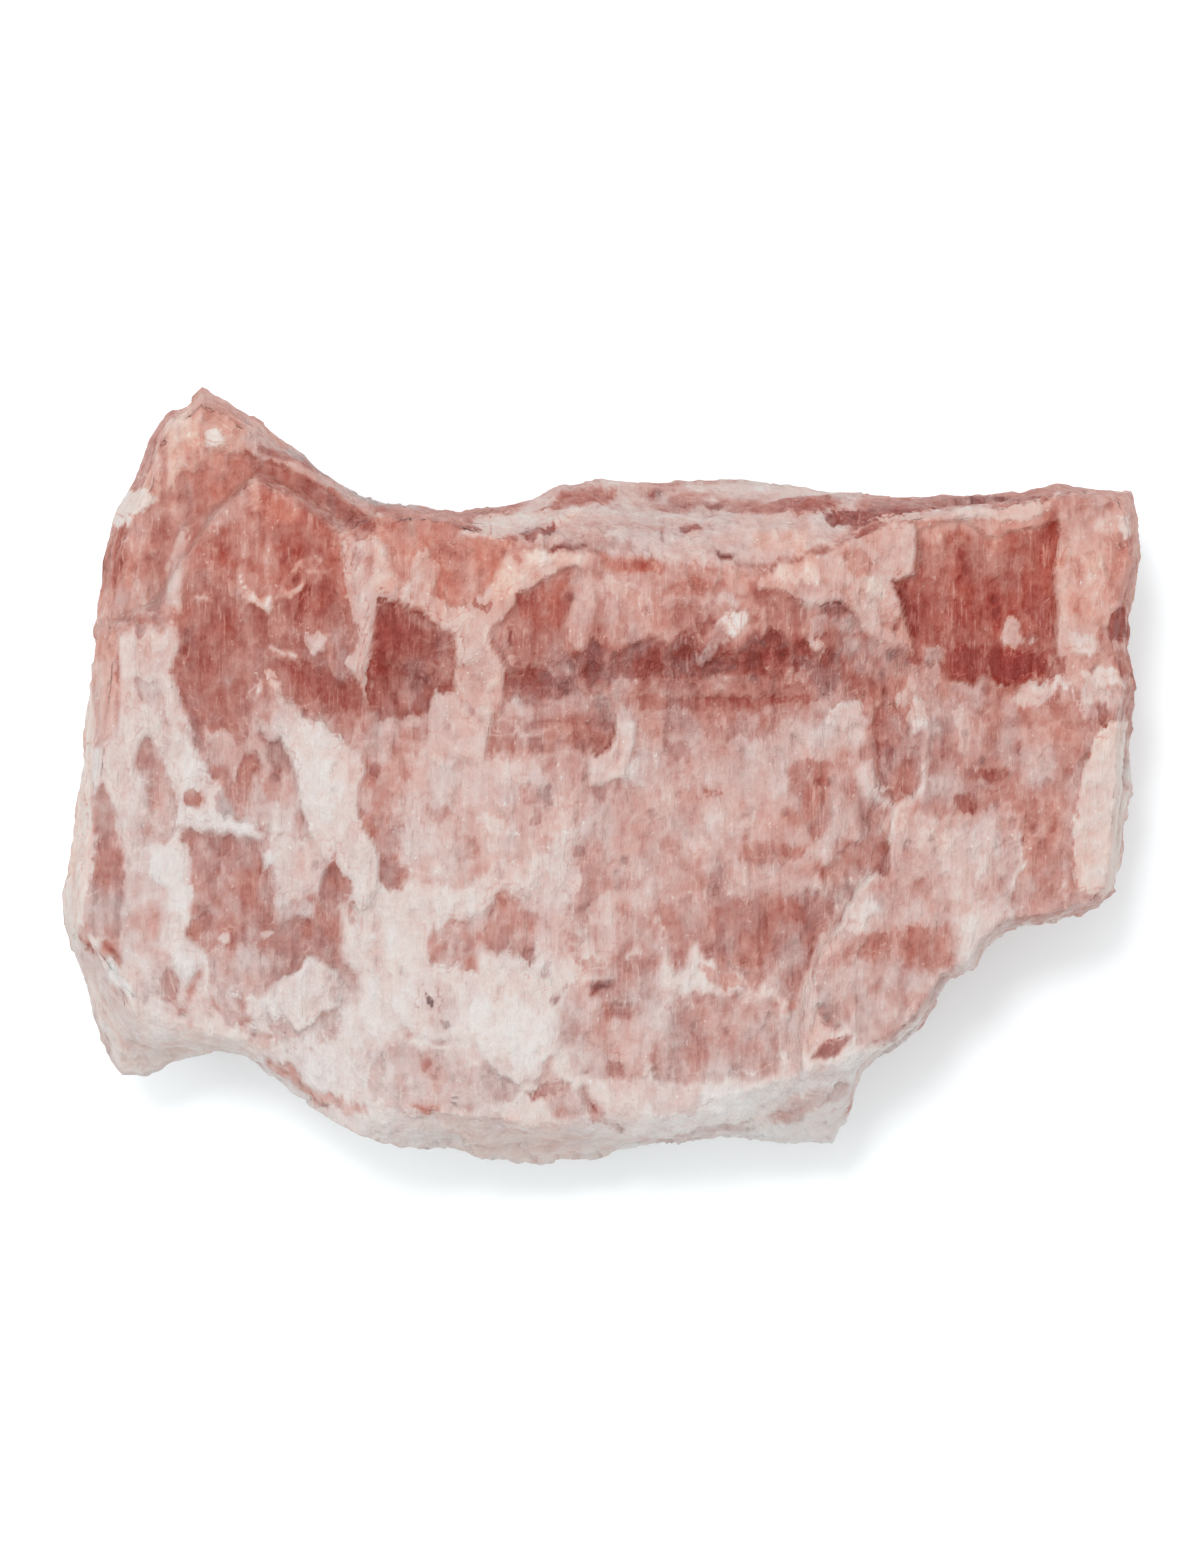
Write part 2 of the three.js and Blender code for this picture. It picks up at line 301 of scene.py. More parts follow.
OCTAVE_GAIN = 0.55


def rough(p, sizes, seed, octaves=4):
    """Noise summed over octaves, each twice as fine as the last and weaker by the gain.

    The coarsest octave's bumps are as long as the sizes along X, Y and Z, in mm.
    """
    x, y, z = (p / sizes).T
    total, strength, whole = 0, 1.0, 0.0
    for k in range(octaves):
        total = total + strength * noise(x * 2**k, y * 2**k, z * 2**k, seed + 17 * k)
        whole += strength
        strength *= OCTAVE_GAIN
    return total / whole


def splinters(p, sizes, seed):
    """The nearest of scattered points, one in each cell that measures the sizes, in mm.

    Returns that point's random value, a random ramp round it, and the distance to it in
    cells.
    """
    p = (p / sizes).T
    cell = np.floor(p).astype(np.int64)
    near = np.full(p[0].shape, 9.0)
    value, ramp = np.zeros(near.shape), np.zeros(near.shape)
    for i in (-1, 0, 1):
        for j in (-1, 0, 1):
            for k in (-1, 0, 1):
                c = cell[0] + i, cell[1] + j, cell[2] + k
                off = [p[n] - c[n] - scatter(*c, seed + 5 * n) for n in range(3)]
                gap = off[0] ** 2 + off[1] ** 2 + off[2] ** 2
                closer = gap < near
                tilt = sum(off[n] * (2 * scatter(*c, seed + 41 + n) - 1) for n in range(3))
                value = np.where(closer, scatter(*c, seed + 31), value)
                ramp = np.where(closer, tilt, ramp)
                near = np.where(closer, gap, near)
    return value, ramp, np.sqrt(near)


# ---------------------------------------------------------------- bands, flakes and windows

# Tone runs from 0, deep brick red, over rose to 1, chalk white. Hue runs from -1, dusty
# lilac grey, to 1, salmon. Each patch on the broad face is
# (tone, hue, lift in mm, softness of its edge in mm, its outline).
PATCHES = [
    # the peak and its ledge
    (0.73, 0.4, 0, 0.8, [(-39.4, 23.6), (-38.6, 26.6), (-37.8, 29.4), (-35, 31.2), (-33.2, 33), (-30, 31),
        (-26.5, 28.6), (-24, 27.2), (-27, 26.4), (-29.6, 26.8), (-32, 27.2), (-35, 25.2), (-35.6, 22.6),
        (-37, 22.4)]),
    (0.46, -0.1, -0.1, 0.25, [(-39.8, 24), (-38.9, 27), (-38.2, 29), (-37.4, 30), (-36.6, 29.8),
        (-36.9, 28), (-37.3, 26.6), (-38, 25.2), (-38.1, 24.2)]),
    (0.5, 0.1, -0.1, 0.2, [(-36.6, 28.4), (-36.2, 28.6), (-36, 25), (-36.1, 22), (-36.7, 21.8),
        (-36.5, 25)]),
    (0.8, 0.9, 0.12, 0.18, [(-36, 29.4), (-35.5, 29.4), (-35.2, 26.6), (-35.2, 25), (-35.6, 24),
        (-35.9, 26)]),
    (0.62, 0.5, 0, 0.25, [(-35.9, 24), (-35.3, 24.2), (-35.1, 22.4), (-35.4, 20.6), (-35.9, 20.8)]),
    (0.84, 0.9, 0.15, 0.25, [(-34.8, 30.6), (-33.7, 30.4), (-33.2, 29), (-33.2, 27.6), (-33.8, 27),
        (-34.4, 28), (-34.9, 29)]),
    (0.62, 0.5, 0, 0.3, [(-34.6, 27.2), (-33.4, 27.2), (-32.8, 26.4), (-32.9, 25.2), (-33.8, 24.8),
        (-34.6, 25.2)]),
    (0.62, 0.5, 0, 0.4, [(-32.9, 31.8), (-31.6, 31.6), (-29.8, 30.4), (-29.8, 28.4), (-31, 28.4),
        (-31.8, 29.2), (-33, 29.4)]),
    (0.5, -0.4, -0.1, 0.25, [(-30, 29.9), (-29.2, 29.8), (-28.9, 29.1), (-29.6, 28.9)]),
    (0.48, -0.4, -0.1, 0.2, [(-28.8, 29.2), (-28.2, 29.1), (-27.9, 28.5), (-28.5, 28.4)]),
    (0.6, -0.1, 0, 0.4, [(-30, 28.2), (-28.4, 28.4), (-26, 27.4), (-24.4, 26.6), (-25, 26.2), (-27.6, 27),
        (-29.4, 27.2)]),
    (0.98, 0.2, 0.3, 0.2, [(-32.9, 28.6), (-32.2, 28.9), (-31.3, 28.5), (-31.1, 27.7), (-31.8, 27.3),
        (-32.6, 27.5)]),
    (0.42, -0.2, -0.3, 0.15, [(-33.1, 27.3), (-32.5, 27.2), (-32.5, 26.8), (-33, 26.9)]),
    (0.52, 0.6, -0.3, 0.3, [(-34.9, 21.2), (-35.1, 23), (-34.9, 25.2), (-33, 25.3), (-32.6, 26.6),
        (-31.5, 27), (-29.6, 26.8), (-28.6, 25.8), (-28.6, 24.7), (-30, 23.9), (-31.5, 23), (-33, 21.9)]),
    (0.48, 0.6, 0, 0.6, [(-33.6, 23.6), (-31.4, 25), (-30, 24.9), (-31.4, 23.4), (-33, 22.4)]),
    (0.5, 0.7, 0, 0.5, [(-32.2, 26.6), (-30, 26.8), (-29.4, 26), (-31, 25.6)]),
    (0.48, 0.1, 0, 0.4, [(-35, 24.4), (-34, 24.4), (-33.8, 22.6), (-34.4, 21.4), (-35, 22)]),
    (0.45, -0.9, -0.1, 0.2, [(-26.2, 27.6), (-24.4, 26.8), (-22.4, 25.6), (-21, 24.4), (-19.9, 23.7),
        (-18.4, 23.2), (-16, 23), (-15.6, 22.5), (-17.4, 22.5), (-18.8, 22.4), (-20.4, 23), (-21.6, 23.8),
        (-22.6, 24.8), (-24.6, 25.8), (-26.2, 26.8)]),
    (0.66, -0.1, 0, 0.25, [(-28.6, 27.4), (-26, 26.6), (-24.4, 25.8), (-22.4, 24.8), (-21, 23.6),
        (-19.4, 22.6), (-18.4, 21.8), (-18, 21.2), (-19.4, 21.6), (-21, 22.6), (-22.8, 24), (-24.6, 25),
        (-26.6, 25.8), (-28.8, 26.6)]),
    # This and the next two dark red patches lie on the shoulder's drop: their red is the stone's own, their
    # darkness is painted shade on the drop.
    (0.36, 0.1, -0.3, 0.35, [(-29.6, 26.9), (-27, 26), (-24.6, 24.9), (-22.4, 23.7), (-20.6, 22.4),
        (-19, 21.4), (-18, 20.8), (-19.4, 20.2), (-20.6, 20.4), (-22.4, 21.6), (-24.4, 22.8),
        (-26.4, 23.8), (-28.4, 24.7), (-29, 25.6)]),
    (0.24, -0.2, -0.2, 0.3, [(-25.6, 24.9), (-23, 23.9), (-20.6, 22.2), (-18.4, 20.9), (-19.6, 20.4),
        (-21.4, 21.4), (-23.2, 22.8), (-25.4, 24.1)]),
    (0.12, -0.3, -0.2, 0.25, [(-21.6, 22.2), (-20.4, 21.8), (-19.2, 21.1), (-18.4, 20.7), (-19.4, 20.3),
        (-20.5, 20.6), (-21.4, 21.4)]),
    # the fluted columns left of the dome
    (0.55, 0, 0, 0.7, [(-40.6, 22), (-37, 22.4), (-35.6, 20.4), (-35.4, 18), (-35.6, 13), (-41, 13)]),
    (0.56, 0, 0, 0.5, [(-38.8, 21.8), (-37.3, 22), (-37, 20.4), (-37.4, 19.4), (-38.8, 19.6)]),
    (0.96, 0.2, 0.3, 0.25, [(-41.2, 22.2), (-40, 24), (-38.4, 24.4), (-37.2, 23.4), (-37, 22.9),
        (-37.8, 22.3), (-38.8, 21.7), (-39.4, 20.7), (-41, 20.2)]),
    (0.42, 0.2, -0.1, 0.25, [(-40.6, 21), (-39.7, 21.2), (-39.5, 19), (-39.6, 16.8), (-40, 15.4),
        (-40.9, 15.6), (-40.9, 18)]),
    (0.63, 0.5, 0.08, 0.2, [(-39.5, 20), (-38.9, 20), (-38.8, 17.6), (-39, 15.4), (-39.5, 15.6)]),
    (0.45, 0, -0.05, 0.4, [(-38.4, 19), (-37.4, 19), (-37.2, 17), (-37.8, 16.2), (-38.4, 17)]),
    (0.42, 0, -0.12, 0.3, [(-37.2, 21.4), (-36.2, 21.6), (-35.9, 20.2), (-36.4, 18.6), (-37.1, 18.6)]),
    (0.42, -0.2, -0.15, 0.2, [(-36.7, 18.6), (-36.2, 19), (-36.2, 16.4), (-36.4, 14.6), (-36.9, 14.8)]),
    (0.72, -0.3, 0.25, 0.18, [(-34.9, 20.7), (-34, 20.9), (-33.7, 20), (-34.1, 19), (-34.4, 17.5),
        (-34.5, 15.5), (-34.8, 14), (-35.7, 13.8), (-36, 15.5), (-36.2, 17), (-35.9, 18.4),
        (-35.3, 19.5)]),
    (0.85, 0.1, 0.1, 0.25, [(-35, 20.6), (-34, 20.8), (-33.8, 20), (-34.4, 19.2), (-35.2, 19.4)]),
    (0.66, 0.7, 0.1, 0.22, [(-34.6, 20.9), (-33, 21.6), (-32.6, 21.2), (-33, 20.6), (-34, 20.3)]),
    (0.74, 0.1, 0.1, 0.25, [(-39.2, 15.2), (-38.8, 16.4), (-38.2, 16.2), (-37.7, 14.8), (-37.7, 13.4),
        (-38.6, 13.2), (-39.2, 14)]),
    (0.44, -0.3, -0.1, 0.3, [(-37.6, 15.8), (-36.8, 15.6), (-36.2, 14), (-35.6, 13), (-36.4, 12.6),
        (-37.4, 13)]),
    (0.62, 0.4, 0, 0.5, [(-41.6, 16), (-40.4, 15.6), (-39.8, 13), (-40.2, 9), (-40.4, 4), (-43.2, 3),
        (-42.6, 12)]),
    (0.56, -0.1, 0, 0.4, [(-40.2, 14.8), (-39.4, 15), (-39.2, 13), (-39.8, 11.6), (-40.4, 12)]),
    # the dome, red below its crest
    (0.43, 0.4, 0, 0.9, [(-34.4, 20.2), (-33, 21.8), (-31.4, 23), (-30, 24), (-28.6, 24.8), (-26.4, 23.9),
        (-24.4, 22.9), (-22.4, 21.6), (-21.4, 20.4), (-21.4, 15), (-34.6, 15)]),
    (0.55, 0.1, 0, 0.6, [(-33.4, 21.4), (-31.4, 22.9), (-29.8, 23.9), (-29, 23.4), (-29.6, 21.4),
        (-31, 20.8), (-32.6, 20.4)]),
    (0.76, 0.8, 0.1, 0.22, [(-29, 24.6), (-28.4, 24.8), (-28.1, 23.4), (-28.2, 22), (-28.8, 21.9),
        (-29, 23)]),
    (0.5, 0.9, 0, 0.7, [(-27.8, 24), (-26, 23.4), (-24.8, 21.8), (-25.6, 20.4), (-27.4, 20.4),
        (-28, 22)]),
    (0.4, 0.1, 0, 0.4, [(-25.4, 23.3), (-24, 22.7), (-22.6, 21.6), (-23, 21), (-24.4, 21.8),
        (-25.6, 22.4)]),
    (0.6, 0.3, 0.1, 0.2, [(-23, 22.4), (-22.2, 21.8), (-21.2, 20.6), (-20.6, 19.8), (-21.2, 19.6),
        (-22, 20.6), (-22.8, 21.6)]),
    (0.34, 0.5, 0, 0.8, [(-34, 18.8), (-32, 19.4), (-30.2, 18.4), (-30.2, 16.8), (-32, 16.8), (-34, 17)]),
    (0.36, 0.4, 0, 0.8, [(-26.8, 21), (-24, 20.8), (-21.9, 19.8), (-21.8, 17), (-23, 16.6),
        (-26.4, 16.8)]),
    (0.29, 0.4, 0, 0.5, [(-26.8, 19), (-25.8, 19), (-25.4, 17.2), (-26.4, 16.6)]),
    (0.37, -0.1, -0.1, 0.3, [(-34.2, 16.8), (-33, 16.9), (-31.8, 16.4), (-32, 15.2), (-34.2, 15)]),
    (0.33, 0, -0.15, 0.4, [(-35.3, 11.4), (-34.4, 13), (-34.6, 14.6), (-34, 15.6), (-31, 16.1),
        (-30, 15.2), (-28, 14), (-26, 15), (-22.6, 15.8), (-21.8, 14), (-20.8, 12.6), (-20.6, 10.8),
        (-21.2, 9.4), (-20.2, 8.2), (-19.6, 7.4), (-19.4, 5.6), (-20, 4.8), (-22, 5.2), (-24.4, 4.8),
        (-25.8, 5.8), (-27, 7), (-27.8, 8.4), (-28.6, 7), (-29, 4.6), (-29.4, 2.8), (-30.6, 2.8),
        (-31.8, 2.2), (-33, 2), (-33.8, 3.2), (-34.6, 5.6), (-35.2, 7.6)]),
    (0.2, 0.1, -0.1, 0.6, [(-35, 11), (-33.8, 11.6), (-32.4, 11.2), (-32.4, 9.4), (-34, 8.6),
        (-35.2, 9.4)]),
    (0.23, 0.3, -0.05, 0.5, [(-24.9, 15.8), (-22.8, 16.6), (-21.9, 15.4), (-22.4, 13.6), (-24.4, 13.4),
        (-25.2, 14.4)]),
    (0.27, 0.2, 0, 0.6, [(-31.8, 14.4), (-30, 14), (-30.2, 12), (-31.6, 11.4), (-32.2, 13)]),
    (0.44, 0.2, 0, 0.5, [(-29.8, 12.8), (-28.4, 12.6), (-28.4, 10.8), (-29.4, 10.6)]),
    (0.47, 0.2, 0, 0.35, [(-27.6, 13.6), (-26.4, 13.4), (-26.2, 12.4), (-27, 11.6), (-27.8, 12.2)]),
    (0.35, -0.1, 0, 0.4, [(-22.6, 14), (-21.4, 14.4), (-20.8, 12.4), (-20.8, 10.6), (-22, 11)]),
    (0.52, 0.2, 0.1, 0.2, [(-27.2, 10.8), (-26, 10.4), (-25.2, 10), (-26, 9.6), (-27, 9.9)]),
    (0.18, 0.2, -0.1, 0.6, [(-26.6, 9.4), (-23.4, 9.6), (-21.6, 8), (-20, 7), (-20, 5.6), (-22, 5.8),
        (-24.6, 7.2), (-26, 8)]),
    (0.72, -0.3, 0.22, 0.22, [(-24.4, 11.9), (-23.2, 12.3), (-22.8, 11.4), (-22.9, 10.4), (-23.8, 10.3),
        (-24.5, 10.9)]),
    (0.66, 0.4, 0.1, 0.2, [(-26.4, 15.6), (-25.6, 15.8), (-24.6, 16.2), (-24.7, 15.6), (-25.4, 15.1),
        (-26.2, 15.1)]),
    (0.66, 0.4, 0.12, 0.18, [(-30, 16), (-29.4, 15.6), (-29, 14.9), (-28.4, 14.2), (-27.6, 13.8),
        (-27.2, 14.6), (-27.7, 15.2), (-28.3, 15), (-28.8, 15.4), (-29.2, 16), (-29.8, 16.6)]),
    (0.22, -0.1, -0.2, 0.18, [(-25.7, 16.7), (-25.1, 16.7), (-25, 16.1), (-25.5, 16)]),
    (0.78, 0.3, 0.15, 0.18, [(-28, 8.6), (-27.4, 8.9), (-26.8, 7.6), (-26.8, 6.8), (-27.4, 6.8)]),
    # the pale vein that forks round a salmon patch
    (0.54, 0.6, 0, 0.6, [(-19, 21.2), (-16, 21.6), (-12, 21.6), (-10.4, 20.8), (-8, 19.6), (-7, 18.6),
        (-8, 14), (-17, 14.6), (-18.2, 17)]),
    (0.74, 0, 0.3, 0.2, [(-21.5, 19.6), (-20.8, 20), (-20.2, 19.6), (-19.3, 20.2), (-18.4, 19.9),
        (-17.7, 19), (-17.6, 17.6), (-17.2, 16.4), (-16.8, 15.6), (-17, 14.7), (-18.3, 14.8),
        (-18.5, 14.9), (-18.6, 13.6), (-19, 12.6), (-19.2, 11), (-19.4, 9.4), (-19.6, 8), (-20, 7.9),
        (-20.4, 8.6), (-21.3, 9.7), (-20.6, 10.2), (-20.1, 11), (-20.3, 12.4), (-20.8, 13.8),
        (-21.2, 15.4), (-21.3, 17)]),
    (0.42, 0, -0.1, 0.22, [(-20.6, 20.1), (-19.4, 20.3), (-19.2, 19.5), (-20.4, 19.3)]),
    (0.45, -0.3, -0.2, 0.18, [(-20.5, 18.6), (-19.9, 18.8), (-19.7, 17.8), (-20.1, 17.2), (-20.6, 17.6)]),
    (0.56, 0.2, -0.1, 0.22, [(-19.7, 18), (-18.9, 18.1), (-18.8, 16.8), (-19.6, 16.6)]),
    (0.83, 0.6, 0.1, 0.2, [(-18.9, 19.2), (-18, 19.1), (-17.7, 18), (-18.2, 17), (-18.8, 17.6)]),
    (0.79, 0.6, 0.05, 0.3, [(-18.6, 16.8), (-17.3, 16.8), (-16.9, 15.8), (-17.6, 15), (-18.8, 15.4)]),
    (0.46, 0.6, 0, 0.5, [(-13.8, 19.6), (-12, 20), (-11, 18.6), (-11.6, 17.4), (-13.2, 17.8),
        (-14, 18.6)]),
    (0.6, 0.6, 0, 0.4, [(-11.4, 18), (-9.8, 18.2), (-9.4, 16.6), (-10.4, 16.4), (-11.4, 17)]),
    (0.48, -0.5, -0.15, 0.15, [(-11.4, 21), (-10.4, 21), (-9.8, 20.6), (-9.9, 20.3), (-10.8, 20.5)]),
    (0.76, 0.3, 0.3, 0.22, [(-6.6, 18.7), (-5, 19), (-3, 18.6), (-1, 18.5), (0, 18.2), (0, 16.8),
        (-1.4, 16.8), (-1.8, 17.2), (-2.8, 17.4), (-4, 16.9), (-5.1, 15.9), (-6.4, 15.2), (-7, 14.7),
        (-7.3, 13.7), (-8, 13), (-8.8, 12.6), (-9.1, 11.6), (-9, 11), (-8.2, 10), (-7.9, 9), (-7.9, 7.5),
        (-8.1, 6), (-9, 5), (-11, 5.4), (-12, 6.4), (-12.2, 8), (-12, 10), (-12.2, 12), (-13.2, 12.3),
        (-14.2, 13), (-15, 13.9), (-16, 14.2), (-17, 14.8), (-16.2, 15.8), (-15.8, 17), (-15.1, 18.4),
        (-14.4, 18.9), (-14, 18.2), (-13.4, 17.2), (-13.7, 16), (-13.8, 15.2), (-13, 14.4), (-12, 13.9),
        (-11, 14.1), (-10.4, 14.7), (-9.7, 15.3), (-9.2, 16.2), (-8.6, 17.2), (-8, 18.2)]),
    (0.7, 0.1, 0, 0.4, [(-12, 12.4), (-9.4, 12.6), (-9.4, 10), (-8.6, 8.4), (-10, 6.8), (-11.8, 7.4),
        (-11.8, 10)]),
    (0.92, 0.6, 0.1, 0.3, [(-6.4, 18.6), (-5, 18.9), (-3.6, 18.4), (-4.8, 17.4), (-6, 17.6)]),
    (0.82, 0.5, 0.05, 0.4, [(-4, 18.2), (-0.6, 18.2), (-0.4, 17.2), (-2, 17.8), (-3.6, 17.4)]),
    (0.8, 0.7, 0.05, 0.4, [(-8.8, 16.4), (-7.2, 17.6), (-6.6, 16), (-7.6, 14.6), (-9, 14), (-9.2, 15)]),
    (0.6, 0.4, 0, 0.3, [(-8, 18.4), (-7, 18.6), (-6.4, 17.8), (-7.4, 17.4)]),
    (0.63, 0.2, 0, 0.25, [(-15.9, 15.9), (-14.8, 16), (-14.6, 15), (-15.6, 14.7)]),
    (0.38, 0.3, -0.15, 0.15, [(-10.7, 14.3), (-10.2, 14.9), (-10.1, 14.3), (-9.5, 14.4), (-9.1, 15),
        (-8.8, 14.4), (-9.4, 13.7), (-10.4, 13.6)]),
    (0.2, 0.1, -0.35, 0.2, [(-18.6, 14.6), (-17.4, 14.8), (-15.8, 13.9), (-15, 13.6), (-13.6, 12.4),
        (-12.3, 12), (-12.2, 9.4), (-12.3, 7.4), (-13, 7.3), (-13.8, 7), (-14.2, 5.8), (-14.8, 4.6),
        (-16.4, 4.9), (-18, 4.8), (-19.3, 5.6), (-19.4, 7.6), (-19.2, 10), (-18.9, 12)]),
    (0.14, 0.3, -0.05, 0.4, [(-18.4, 13.4), (-17, 13.8), (-16.2, 12.4), (-16.6, 10.6), (-18.2, 10.2),
        (-18.8, 11.6)]),
    (0.31, -0.2, 0, 0.35, [(-16.4, 13.9), (-14.2, 12.8), (-13, 11.9), (-14.4, 12), (-16, 13)]),
    (0.36, 0, 0.05, 0.5, [(-14, 9.6), (-12.6, 9.8), (-12.6, 7.8), (-13.6, 7.8)]),
    (0.34, 0.1, 0.05, 0.4, [(-17.2, 7.4), (-15.8, 8), (-15, 6), (-16.6, 5.2)]),
    # the red brown patch right of the vein
    (0.4, 0, -0.3, 0.22, [(-5, 15.9), (-4.2, 16.7), (-2.9, 17.3), (-2.1, 17.3), (-1.8, 16.4),
        (-2.4, 15.2), (-2.5, 14.2), (-2.9, 12.6), (-2.9, 10.6), (-2.4, 9.6), (-2.5, 6.6), (-4, 6.6),
        (-6, 6.2), (-8, 6.4), (-7.8, 8.6), (-8.1, 10), (-9, 11.2), (-8.8, 12.4), (-8, 12.9), (-7.2, 13.6),
        (-7, 14.7), (-6.4, 15.2)]),
    (0.29, 0.4, -0.05, 0.35, [(-7, 14.9), (-5, 15.5), (-3.4, 15), (-2.8, 14), (-3.2, 12.4), (-4, 13),
        (-5.2, 12), (-5.8, 13.2), (-6.8, 13.4)]),
    (0.43, 0.2, 0.05, 0.35, [(-4.6, 16.6), (-3, 17), (-2.2, 16.4), (-2.8, 15.4), (-4.2, 15.6)]),
    (0.49, 0.1, 0.05, 0.4, [(-8.6, 12.2), (-7.4, 12.8), (-6.2, 12.6), (-6, 11.2), (-6.8, 10), (-8, 10.2),
        (-8.8, 11.2)]),
    (0.42, -0.1, 0, 0.3, [(-5.6, 11.4), (-4.6, 11.8), (-3.2, 11.2), (-3.2, 9.4), (-5.2, 9.2)]),
    (0.26, -0.1, -0.1, 0.15, [(-7.6, 12), (-7.4, 12), (-7.3, 10.4), (-7.6, 10.4)]),
    (0.19, 0.1, -0.15, 0.4, [(-7.8, 8.4), (-6, 9.2), (-4, 8.6), (-2.4, 8.8), (-2.4, 6.8), (-5, 6.7),
        (-7.8, 6.5)]),
    (0, 0, -0.2, 0.25, [(-3.5, 8.2), (-2.7, 8.2), (-2.5, 6.9), (-3.3, 6.8)]),
    (0.68, 0.4, 0.1, 0.15, [(-7.7, 9.8), (-7.1, 9.7), (-7, 9.1), (-7.5, 9)]),
    # the crest right of the vein, and the pale ridge under it
    (0.56, 0.1, 0, 0.8, [(-2.4, 17), (0, 18.2), (5, 18.4), (9, 17), (12.6, 17.2), (12.6, 11.4), (8, 11.4),
        (4, 11), (1, 11), (-2.6, 10.4)]),
    (0.5, 0.8, 0, 0.35, [(0, 18.3), (1.2, 18.5), (3, 18.3), (4.6, 18), (5.2, 17.4), (4.6, 16.8),
        (3, 16.6), (1.6, 16.9), (0.2, 17)]),
    (0.42, 0.9, -0.1, 0.3, [(1.6, 17.8), (3, 18), (4, 17.5), (3.8, 16.9), (2.2, 16.8)]),
    (0.76, 0.6, 0.05, 0.15, [(4.1, 17.8), (4.6, 17.6), (5, 16.8), (4.6, 16.6), (4.4, 17.2)]),
    (0.76, 0, 0.1, 0.35, [(-0.8, 16.2), (0.6, 16.5), (2.4, 16.1), (3, 15.4), (2, 14.8), (0.4, 14.9),
        (-0.6, 15.2)]),
    (0.62, -0.2, 0, 0.4, [(-2.3, 16.4), (-0.8, 16.6), (-0.4, 14), (-0.9, 12.4), (-2.6, 12.6)]),
    (0.74, 0, 0.05, 0.25, [(-1.2, 17), (-0.7, 17), (-0.6, 14.4), (-0.9, 13), (-1.3, 14)]),
    (0.4, 0.5, -0.05, 0.35, [(5.6, 16), (6.6, 16.5), (8.4, 16.6), (9.3, 16.2), (9, 15.4), (7.6, 15),
        (6, 15.1)]),
    (0.46, 0.1, 0, 0.5, [(9.8, 17.2), (11.6, 17.4), (12.3, 16.4), (12.2, 14.8), (10.6, 15), (9.8, 16)]),
    (0.72, -0.3, 0.05, 0.35, [(9.6, 15.6), (10.6, 15.4), (11.6, 14.6), (11, 14), (9.8, 14.6)]),
    (0.4, -0.1, -0.05, 0.6, [(4.8, 14.8), (7, 14.4), (9.4, 14.4), (9.8, 12.6), (9, 11.6), (6.4, 11.6),
        (5, 12.4)]),
    (0.34, -0.2, 0, 0.4, [(5.4, 13.4), (7, 13.4), (7.2, 12.2), (5.8, 12)]),
    (0.5, -0.2, 0, 0.5, [(-0.8, 13.6), (1, 13.4), (1, 11.8), (-0.6, 11.6)]),
    (0.6, 0, 0, 0.5, [(-2.6, 12), (-1.4, 12), (-1.2, 10.8), (-2.4, 10.4)]),
    (0.68, 0.3, 0.08, 0.15, [(3, 14.8), (3.4, 14.7), (3.9, 13), (3.6, 12.8), (3.2, 13.8)]),
    (0.42, 0, 0, 0.4, [(1, 12.6), (2.4, 12.4), (2.4, 11.4), (1.2, 11.4)]),
    # the dark band
    (0.14, -0.25, -0.35, 0.4, [(-2.7, 9.6), (-1.5, 10.4), (-0.6, 11.2), (0.2, 10.6), (0.8, 9.8),
        (1.6, 10.2), (2.6, 11), (4.6, 11.2), (5.8, 11), (6.4, 11.6), (7.4, 12), (8, 11.4), (8.2, 10.4),
        (7.8, 9.6), (8.2, 8.8), (9, 9.2), (10, 9.8), (12, 10.5), (13, 11.8), (14, 12.2), (15.2, 12),
        (15.6, 10.6), (17, 10.9), (18.6, 10.2), (20, 10), (20, 8.2), (19.4, 7.2), (19.2, 6.2),
        (18.2, 6.3), (18, 7.4), (17, 8.4), (16, 9), (14.6, 9.2), (13, 8.8), (11, 8.8), (9, 8), (5, 8.3),
        (2, 8.2), (-0.8, 7.8), (-1.6, 8.4), (-2.6, 8.6)]),
    (0, 0, -0.15, 0.4, [(-0.8, 10.2), (0.1, 10), (0.2, 8.6), (-0.6, 8.4)]),
    (0.36, 0, 0.05, 0.15, [(0.3, 11.4), (0.7, 11.2), (0.8, 8.8), (0.5, 8.2), (0.3, 9)]),
    (0.23, -0.3, 0, 0.4, [(1, 10.2), (2.4, 10.8), (3.8, 10.8), (3.6, 9.4), (1.2, 9.4)]),
    (0.02, 0.2, -0.15, 0.3, [(3.9, 10.6), (5, 10.2), (5, 8.8), (3.9, 8.8)]),
    (0, 0.2, -0.15, 0.3, [(6, 10.6), (7.4, 10.8), (7.4, 9.6), (6, 9.4)]),
    (0.26, -0.3, 0, 0.4, [(11.2, 10.4), (12.8, 11.4), (12.8, 10.2), (11.6, 9.6)]),
    (0, 0.1, -0.15, 0.3, [(13.9, 12), (15, 12), (15, 10.8), (13.9, 10.8)]),
    (0.05, 0.2, -0.15, 0.3, [(13.2, 10.4), (15.6, 10.6), (15.4, 9.6), (13.4, 9.4)]),
    (0, 0.2, -0.15, 0.3, [(16.2, 10.8), (17.6, 10.8), (17.6, 9.8), (16.4, 9.8)]),
    (0.4, -0.15, -0.1, 0.5, [(1.4, 8.2), (8, 8.2), (13.4, 8.6), (17, 8.2), (14, 7.4), (7, 7),
        (3.4, 6.8)]),
    (0.54, -0.15, 0, 0.35, [(9.2, 8.2), (10.8, 8.4), (10.6, 7.2), (9.2, 7.2)]),
    (0.52, 0, 0, 0.4, [(15.2, 8.8), (17.2, 8.6), (16.8, 7.6), (15, 7.6)]),
    (0.24, -0.1, 0, 0.4, [(12.6, 8.8), (15.2, 9), (15, 7.8), (12.8, 7.8)]),
